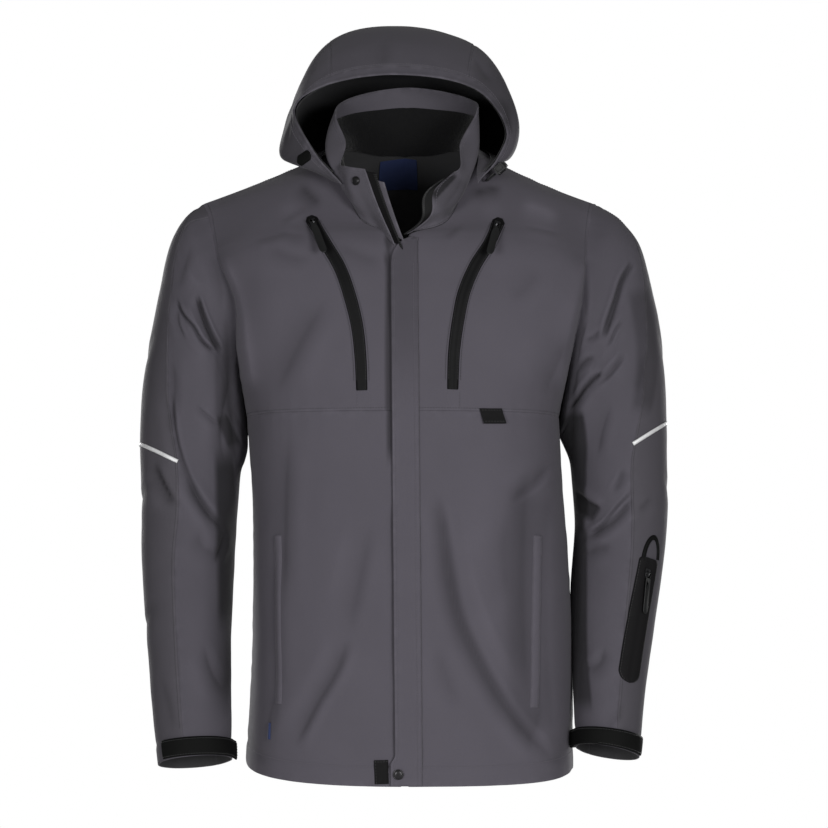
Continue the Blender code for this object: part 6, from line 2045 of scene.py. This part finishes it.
@dataclass
class FrontTrim:
    """Hand pocket welts, the chest loop and the side tag."""

    torso: TorsoForm
    threads: Threads
    welts: dict[Hand, Path] = field(default_factory=lambda: {
        Hand.RIGHT: ((-0.157, -0.443), (-0.154, -0.648)),
        Hand.LEFT: ((0.162, -0.443), (0.158, -0.652)),
    })
    welt_half: float = 0.007
    welt_heights: tuple[float, ...] = (-0.0004, 0.0013, 0.0019, 0.0021, 0.0020, 0.0016, -0.0004)
    welt_stitch: float = 0.0022
    loop_path: Path = ((0.1058, -0.2880), (0.1058, -0.3068))
    loop_half: float = 0.0133
    loop_slant: float = 0.0048
    loop_lift: float = 0.0021
    loop_stand: float = 0.0020
    loop_bulge: float = 0.0008
    tag_path: Path = ((-0.1655, -0.6720), (-0.1655, -0.6920))
    tag_half: float = 0.003
    tag_heights: tuple[float, ...] = (0.0012, 0.0019, 0.0021)

    def build(self) -> None:
        """Make the welts, the loop and the tag."""
        chart = self.torso.front_chart
        for hand in Hand:
            path = path_between(self.welts[hand], np.linspace(0, 1, 90))
            welt = ribbon(chart, path, self.welt_half, self.welt_heights)
            make("pocket_welt_" + hand.word, "cloth", [welt], SHELL, STRIP_WALL, Hold.LAID,
                 ["lower_front_" + hand.word + "_cloth"])
            self.threads.grey.beside(welt, list(Side), self.welt_stitch, 0.02, 0.98)
        self.loop()
        tag = ribbon(chart, path_between(self.tag_path, np.linspace(0, 1, 16)), self.tag_half,
                     mirrored(self.tag_heights))
        make("side_tag", "cloth", [tag], LABEL_CLOTH, 0.0009)

    def loop(self) -> None:
        """Make the folded loop, a slanting tab whose lower edge stands off the front."""
        rows = np.linspace(0, 1, 22)
        path = path_between(self.loop_path, rows)
        x = path[:, 0] + self.loop_slant * (rows - 0.5) + self.loop_half * np.linspace(-1, 1, 25)[:, None]
        points, normals = self.torso.front_chart(x, np.broadcast_to(path[:, 1], x.shape))
        stand = self.loop_lift + self.loop_stand * ease((rows - 0.45) / 0.5)
        stand = stand + self.loop_bulge * np.sin(math.pi * rows)
        loop = Cloth(points + normals * stand[None, :, None], normals)
        make("chest_loop", "cloth", [loop], WEBBING, 0.0012, Hold.FOLDED, ["yoke_left_cloth"])
        for side, depth in ((Side.START_B, 0.0022), (Side.END_B, 0.0030)):
            self.threads.black.beside(loop, [side], depth, 0.05, 0.95)


@dataclass
class Sleeve:
    """One sleeve's two panels, its cuff strap and its reflective tape."""

    form: SleeveForm
    threads: Threads
    elbow: float
    tape_rise: float
    strap_turns: Pair
    wall: float = 0.0016
    front_cells: tuple[int, int] = (114, 284)
    back_cells: tuple[int, int] = (46, 150)
    seam_stitch: float = 0.0032
    strap_place: float = 0.9855
    strap_half: float = 0.0116
    strap_lift: float = 0.0030
    strap_profile: tuple[float, ...] = (0.0, 0.7, 0.95, 1.0, 1.0)
    strap_bulge: float = 0.0008
    strap_stand: float = 0.0040
    strap_stitch: float = 0.0024
    tape_half: float = 0.0025
    tape_heights: tuple[float, ...] = (0.0010, 0.0016, 0.0017)

    def build(self) -> None:
        """Make the sleeve's pieces."""
        form, word = self.form, self.form.hand.word
        cloths = []
        for node, ends, cells, finish in (
            ("sleeve_front_", (form.seam_at_back - 1.0, form.front_seam), self.front_cells, SHELL_SLEEVE_PAINTED_SHADE),
            ("sleeve_back_", (form.front_seam, form.seam_at_back), self.back_cells, SHELL_OUTER_TONE_AND_SHADE),
        ):
            cloths.append(Panel(form.surface, ends, (form.allowance, 1.0), cells, HEM_AT_END).cut())
            make(node + word, "cloth", cloths[-1:], finish, self.wall, Hold.HUNG, inner=INNER)
        self.threads.dark.beside(cloths[1], LONG_SIDES, self.seam_stitch, 0.02, 0.95)
        self.strap(word)
        self.tape(word)

    def strap(self, word: str) -> None:
        """Make the cuff strap, with its free end standing off the sleeve."""
        share = np.linspace(0, 1, 110)
        path = np.column_stack([mix(*self.strap_turns, share), np.full_like(share, self.strap_place)])
        narrow = np.minimum(1.0, np.sqrt(np.clip((1.0 - share) / 0.035, 0.05, 1.0)))
        heights = np.array(mirrored(self.strap_profile)) * self.strap_bulge + self.strap_lift
        strap = ribbon(self.form.surface.at, path, self.strap_half * mix(0.75, 1.0, narrow), heights)
        stand = self.strap_stand * ease((share - 0.86) / 0.14)
        strap = Cloth(strap.points + strap.normals * stand[None, :, None], strap.normals)
        make("cuff_strap_" + word, "band", [strap], BLACK_CLOTH, 0.0018, Hold.STRETCHED,
             ["sleeve_front_" + word + "_cloth", "sleeve_back_" + word + "_cloth"])
        self.threads.black.beside(strap, [*LONG_SIDES, Side.END_B], self.strap_stitch)

    def tape(self, word: str) -> None:
        """Make the reflective tape across the outer panel."""
        share = np.linspace(0, 1, 90)
        turns = mix(self.form.front_seam(np.array(self.elbow)), self.form.seam_at_back, share)
        path = np.column_stack([turns, self.elbow - self.tape_rise * (1.0 - share)])
        tape = ribbon(self.form.surface.at, path, self.tape_half, mirrored(self.tape_heights))
        make("reflector_" + word, "tape", [tape], SILVER, 0.0006)


@dataclass
class SleevePocket:
    """The zipped pocket on the left sleeve with its arch, slider and tab."""

    form: SleeveForm
    threads: Threads
    path: Path = ((0.361, 0.698), (0.327, 0.895))
    half: float = 0.0168
    length: float = 0.175
    heights: tuple[float, ...] = (0.0006, 0.0017, 0.0021, 0.0022, 0.0022, 0.0019, 0.0013)
    stitch: float = 0.0022
    slider_places: Pair = (0.10, 0.16)
    slider_lift: float = 0.0025
    calm_place: float = 0.12
    calm_radius: float = 0.035
    arch_middle: Pair = (0.367, 0.701)
    arch_half_turn: float = 0.035
    arch_length: float = 0.040
    arch_half: float = 0.0031
    arch_heights: tuple[float, ...] = (0.0006, 0.0018, 0.0022)

    def calm(self) -> None:
        """Keep the cloth plain under the slider."""
        spot = path_between(self.path, np.array([self.calm_place]))
        self.form.surface.keep_calm(*spot.T, self.calm_radius)

    def build(self) -> None:
        """Make the pocket's pieces."""
        chart = self.form.surface.at
        places, widths = round_ends(80, self.length, self.half)
        widths = np.where(places < 0.5, self.half * np.interp(places, (0.0, 0.02), (0.80, 1.0)), widths)
        pocket = ribbon(chart, path_between(self.path, places), widths, mirrored(self.heights))
        make("sleeve_pocket", "overlay", [pocket], OVERLAY, STRIP_WALL, Hold.LAID,
             ["sleeve_back_left_cloth"])
        self.threads.black.beside(pocket, LONG_SIDES, self.stitch, 0.04, 0.96)
        turn = np.linspace(0, math.pi, 60)
        path = np.column_stack([self.arch_middle[0] + self.arch_half_turn * np.cos(turn),
                                self.arch_middle[1] - self.arch_length * np.sin(turn)])
        arch = ribbon(chart, path, self.arch_half, mirrored(self.arch_heights))
        make("sleeve_pocket_arch", "band", [arch], BLACK_CLOTH, STRIP_WALL)
        ends = path_between(self.path, np.array(self.slider_places))
        ZipEnd("sleeve_zip_slider",
               "sleeve_zip_pull").build(self.form.surface.stand(*ends.T, self.slider_lift))


@dataclass
class Collar:
    """The stand collar, its fleece facing, the neck zip, the guard, the snap and the label."""

    form: CollarForm
    threads: Threads
    wall: float = 0.0018
    sides: Pair = (0.004, 0.996)
    cells: tuple[int, int] = (164, 42)
    facing_sides: Pair = (0.03, 0.97)
    facing_rows: Pair = (-0.05, 0.69)
    facing_cells: tuple[int, int] = (120, 22)
    facing_lift: float = -0.0034
    tape_width: float = 0.0125
    tape_rows: Pair = (0.06, 0.97)
    guard_width: float = 0.0115
    guard_rows: Pair = (0.20, 0.88)
    guard_depth: float = 0.0026
    snap_place: Pair = (0.052, 0.78)
    snap_lift: float = 0.0008
    label_sides: Pair = (-0.100, 0.048)
    label_rows: Pair = (0.8960, 0.9195)
    label_lift: float = -0.0030
    tooth_size: Triple = (0.0030, 0.0014, 0.0020)
    tooth_pitch: float = 0.0024
    tooth_inset: float = 0.0024
    tooth_depth: float = 0.0012

    def build(self) -> None:
        """Make the collar's pieces."""
        surface = self.form.surface
        collar = Panel(surface, self.sides, (0.0, 1.0), self.cells, BOUND_ABOVE).cut()
        make("collar", "cloth", [collar], SHELL_BOUND, self.wall, Hold.HUNG)
        facing = Panel(surface, self.facing_sides, self.facing_rows, self.facing_cells, {},
                       lift=self.facing_lift).cut()
        make("collar_facing", "fleece", [facing], FLEECE, 0.0012, Hold.HUNG, ["collar_cloth"])
        self.threads.grey.beside(collar, [Side.END_B], 0.0065, 0.01, 0.99)
        self.threads.grey.beside(collar, LONG_SIDES, 0.0060, 0.05, 0.95)
        self.threads.dark.beside(collar, [Side.START_B], 0.0030)
        for hand, end in ((Hand.RIGHT, 0.0), (Hand.LEFT, 1.0)):
            self.tape(hand, end)
        self.guard()
        Snap("collar_snap", 0.0055,
             0.0022).build(surface.stand(*np.array([self.snap_place]).T, self.snap_lift))
        self.label()

    def edge(self, end: float, rows: Pair, count: int) -> tuple[Array, Array, Array]:
        """Points up a front end of the collar, the directions out of it and past its end."""
        heights = np.linspace(*rows, count)
        ends = np.full_like(heights, end)
        inward = ends + 0.02 * (1.0 - 2.0 * end)
        edge = self.form.surface.shape(ends, heights)
        return edge, self.form.surface.base(inward,
                                            heights)[1], unit(edge - self.form.surface.shape(inward,
                                                                                             heights))

    def tape(self, hand: Hand, end: float) -> None:
        """Make one half of the neck zip: its tape and its teeth."""
        edge, out, beyond = self.edge(end, self.tape_rows, 70)
        across = np.linspace(-0.35, 1.0, 8)[:, None, None]
        heights = -0.0006 - 0.0005 * np.linspace(0, 1, 8)[:, None, None]
        points = edge + beyond * (across * self.tape_width - 0.001) + out * heights
        tape = Cloth(points, np.broadcast_to(out, points.shape))
        node = "neck_zip_" + hand.word
        make(node, "tape", [tape], COATED, 0.0008, Hold.STRETCHED, ["collar_cloth"])
        tooth = Bench.block("tooth", PLASTIC, self.tooth_size)
        tooth.facing((1, 0, 0)).raise_by(0.0008, 0, 0).scale(1.0, 0.6, 0.8)
        teeth = Copies(tooth.soften(0.00025, 1).done())
        line = edge + beyond * (self.tape_width - self.tooth_inset) - out * self.tooth_depth
        along = lengths_along(line)
        at = np.arange(0.003, along[-1] - 0.002, self.tooth_pitch)
        x = unit(read_columns(at, along, beyond))
        z = square_to(read_columns(at, along, out), x)
        teeth.place(x, np.cross(z, x), z, read_columns(at, along, line))
        hang(teeth.joined(node + "_teeth", PLASTIC))

    def guard(self) -> None:
        """Make the strip of cloth behind the right half of the neck zip."""
        edge, out, beyond = self.edge(0.0, self.guard_rows, 60)
        across = np.linspace(-0.5, 1.0, 8)[:, None, None]
        bulge = 0.0006 * np.sin(np.linspace(0, math.pi, 8))[:, None, None]
        reach = self.tape_width - 0.004 + across * self.guard_width
        points = edge - out * (self.guard_depth - bulge) + beyond * reach
        guard = Cloth(points, np.broadcast_to(out, points.shape))
        make("zip_guard", "cloth", [guard], SHELL_BOUND, 0.0012, Hold.STRETCHED,
             ["neck_zip_right_tape"])

    def label(self) -> None:
        """Make the plain label inside the back of the neck."""
        back = self.form.torso.back
        label = Panel(back, self.label_sides, self.label_rows, (24, 26), {}, lift=self.label_lift).cut()
        label.normals = -label.normals
        make("neck_label", "cloth", [label], LABEL_CLOTH, 0.0008, Hold.LAID, ["back_cloth"])


@dataclass
class Hood:
    """The hood's panels, brim, lining, cord patch, cord lock and elastic loop."""

    form: HoodForm
    threads: Threads
    wall: float = 0.0016
    brim_end: float = 0.045
    brim_cells: tuple[int, int] = (200, 10)
    seam: float = 2.0 / 7.0
    rows: int = 92
    side_cells: int = 84
    crown_cells: int = 70
    lining_sides: Pair = (-0.93, 0.93)
    lining_rows: Pair = (0.010, 0.915)
    lining_cells: tuple[int, int] = (100, 60)
    lining_lift: float = -0.0032
    patch_path: Path = ((-0.80, 0.035), (-0.80, 0.165))
    patch_half: float = 0.007
    patch_length: float = 0.034
    patch_heights: tuple[float, ...] = (0.0006, 0.0017, 0.0021, 0.0022)
    lock_place: Pair = (0.865, 0.11)
    lock_size: Triple = (0.013, 0.010, 0.018)
    lock_lift: float = 0.001
    cord_radius: float = 0.0012
    cord_half: float = 0.005
    cord_leg: float = 0.0085
    cord_foot: float = 0.0003

    def build(self) -> None:
        """Make the hood's pieces."""
        surface = self.form.surface
        for node, ends, cells in (("hood_side_right", (-1.0, -self.seam), self.side_cells),
                                  ("hood_crown", (-self.seam, self.seam), self.crown_cells),
                                  ("hood_side_left", (self.seam, 1.0), self.side_cells)):
            cloth = Panel(surface, ends, (self.brim_end, 1.0), (cells, self.rows), ALL_SEAMS).cut()
            make(node, "cloth", [cloth], SHELL_HOOD_PAINTED_SHADE, self.wall, Hold.HUNG)
            self.threads.grey.beside(cloth, [Side.START_B], 0.0028)
            if node == "hood_crown":
                self.threads.dark.beside(cloth, LONG_SIDES, 0.0030, 0.02, 0.96)
        edges = {Side.START_B: Sewing.BOUND, Side.END_B: Sewing.SEAM}
        brim = Panel(surface, (-1.0, 1.0), (0.0, self.brim_end), self.brim_cells, edges).cut()
        make("hood_brim", "cloth", [brim], SHELL_BOUND, self.wall, Hold.HUNG)
        lining = Panel(surface, self.lining_sides, self.lining_rows, self.lining_cells, {},
                       lift=self.lining_lift).cut()
        make("hood_lining", "cloth_piece", [lining], HOOD_INNER, STRIP_WALL, Hold.HUNG,
             ["hood_crown_cloth"])
        self.patch()
        self.lock()

    def patch(self) -> None:
        """Make the black patch on the right wing."""
        places, widths = round_ends(24, self.patch_length, self.patch_half)
        patch = ribbon(self.form.surface.at, path_between(self.patch_path, places), widths,
                       mirrored(self.patch_heights))
        make("hood_cord_patch", "cloth", [patch], BLACK_CLOTH, STRIP_WALL, Hold.LAID,
             ["hood_side_right_cloth"])

    def lock(self) -> None:
        """Make the cord lock on the left wing and the elastic loop that it holds."""
        width, depth, height = self.lock_size
        matrix = self.form.surface.stand(*np.array([self.lock_place]).T, depth / 2 + self.lock_lift)
        lock = Bench.block("hood_cord_lock_body", CORD_PLASTIC, (width, height * 0.72, depth))
        lock.facing((0, -1, 0)).inset(width * 0.12).raise_by(0, -height * 0.16, 0).scale(0.86, 1.0, 0.86)
        lock.facing((0, 0, 1)).inset(width * 0.16).inset(width * 0.06, -depth * 0.07)
        lock.facing((1, 0, 0), both=True).inset(depth * 0.2).inset(depth * 0.05, -depth * 0.05)
        hang(lock.soften(0.0008, 3).done(matrix), ["hood_cord_lock"])
        self.cord(matrix, height / 2 + self.cord_foot)

    def cord(self, matrix: Matrix, foot: float) -> None:
        """Make the elastic loop, up from the lock at foot, round a bend and back."""
        leg = [(self.cord_half, foot + rise) for rise in np.linspace(0, self.cord_leg, 6)[:-1]]
        bend = [(self.cord_half * math.cos(turn), foot + self.cord_leg + self.cord_half * math.sin(turn))
                for turn in np.linspace(0, math.pi, 21)]
        route = [matrix @ Vector((x, y, 0.0)) for x, y in leg + bend + [(-x, y) for x, y in leg[::-1]]]
        curve = bpy.data.curves.new("hood_cord_loop", "CURVE")
        curve.dimensions = "3D"
        curve.bevel_depth = self.cord_radius
        curve.bevel_resolution = 4
        curve.use_fill_caps = True
        curve.materials.append(CORD.material())
        wire = curve.splines.new("POLY")
        wire.points.add(len(route) - 1)
        for spot, place in zip(wire.points, route):
            spot.co = (*place, 1.0)
        wire.use_smooth = True
        cord = bpy.data.objects.new("hood_cord_loop", curve)
        bpy.context.scene.collection.objects.link(cord)
        hang(cord, ["hood_cord"])


@dataclass
class Studio:
    """Plain pale floor, soft light and the camera."""

    distance: float = 4.2
    centre: Pair = (0.01125, -0.295)
    frame_width: float = 828 / 800
    floor_level: float = -1.15
    floor_size: float = 3.0
    floor_colour: Triple = (0.82, 0.82, 0.82)
    ambient: float = 0.12
    aim: Triple = (0.0, 0.0, -0.30)
    lamp_width: float = 1.2
    # name, place and power
    lamps: tuple[tuple[str, Triple, float], ...] = (
        ("key", (1.9, -3.7, -0.1), 86.0),
        ("fill", (-1.8, -3.7, -0.3), 62.0),
        ("back key", (-1.9, 3.7, 0.1), 80.0),
        ("back fill", (1.8, 3.7, -0.2), 60.0),
    )

    def build(self) -> None:
        """Set up the camera, the light and the floor."""
        scene = bpy.context.scene
        scene.view_settings.view_transform = "Standard"
        camera = bpy.data.objects.new("camera", bpy.data.cameras.new("camera"))
        camera.data.lens_unit = "FOV"
        camera.data.angle = 2 * math.atan(self.frame_width / 2 / self.distance)
        camera.location = (self.centre[0], -self.distance, self.centre[1])
        camera.rotation_euler = (math.pi / 2, 0, 0)
        scene.collection.objects.link(camera)
        scene.camera = camera
        for name, place, power in self.lamps:
            lamp = bpy.data.objects.new(name, bpy.data.lights.new(name, "AREA"))
            lamp.data.size = self.lamp_width
            lamp.data.energy = power
            lamp.location = place
            lamp.rotation_euler = (Vector(self.aim) - Vector(place)).to_track_quat("-Z", "Y").to_euler()
            scene.collection.objects.link(lamp)
        self.sky(scene)
        self.floor()

    def sky(self, scene: bpy.types.Scene) -> None:
        """A white surround, which lights the jacket softly."""
        world = bpy.data.worlds.new("surround")
        scene.world = world
        world.use_nodes = True
        nodes, links = world.node_tree.nodes, world.node_tree.links
        seen = nodes.new("ShaderNodeLightPath")
        level = nodes.new("ShaderNodeMapRange")
        level.inputs[3].default_value = self.ambient
        level.inputs[4].default_value = 1.0
        links.new(seen.outputs["Is Camera Ray"], level.inputs[0])
        links.new(level.outputs[0], nodes["Background"].inputs["Strength"])
        nodes["Background"].inputs["Color"].default_value = (1.0, 1.0, 1.0, 1.0)

    def floor(self) -> None:
        """A pale floor below the jacket."""
        Bench.clear()
        bpy.ops.mesh.primitive_plane_add(size=self.floor_size, location=(0.0, 0.0, self.floor_level))
        floor = bpy.context.view_layer.objects.active
        floor.name = "floor"
        graph = Graph("pale_floor")
        soft = graph.noise(graph.place(), 0.4, 2.0)
        graph.surface(Base_Color=graph.shade(self.floor_colour, 0.98 + soft * 0.04), Roughness=0.9)
        floor.data.materials.append(graph.material)


def main() -> None:
    """Build the jacket piece by piece."""
    logging.basicConfig(level=logging.INFO, format="%(name)s: %(message)s")
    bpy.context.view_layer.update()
    Studio().build()
    torso = TorsoForm()
    right_form = SleeveForm(Hand.RIGHT, torso, RIGHT_RINGS, RIGHT_SLEEVE_CREASES)
    left_form = SleeveForm(Hand.LEFT, torso, LEFT_RINGS, LEFT_SLEEVE_CREASES, (0.512, 0.474, 0.420))
    threads = Threads()
    chest = ChestPockets(torso, threads)
    pocket = SleevePocket(left_form, threads)
    chest.calm()
    pocket.calm()
    Body(torso, threads).build()
    Sleeve(right_form, threads, elbow=0.5345, tape_rise=0.0105, strap_turns=(0.388, -0.045)).build()
    Sleeve(left_form, threads, elbow=0.5026, tape_rise=0.014, strap_turns=(0.46, -0.030)).build()
    Collar(CollarForm(torso), threads).build()
    Hood(HoodForm(), threads).build()
    Closure(torso, threads).build()
    chest.build()
    FrontTrim(torso, threads).build()
    pocket.build()
    threads.build()


if __name__ == "__main__":
    main()
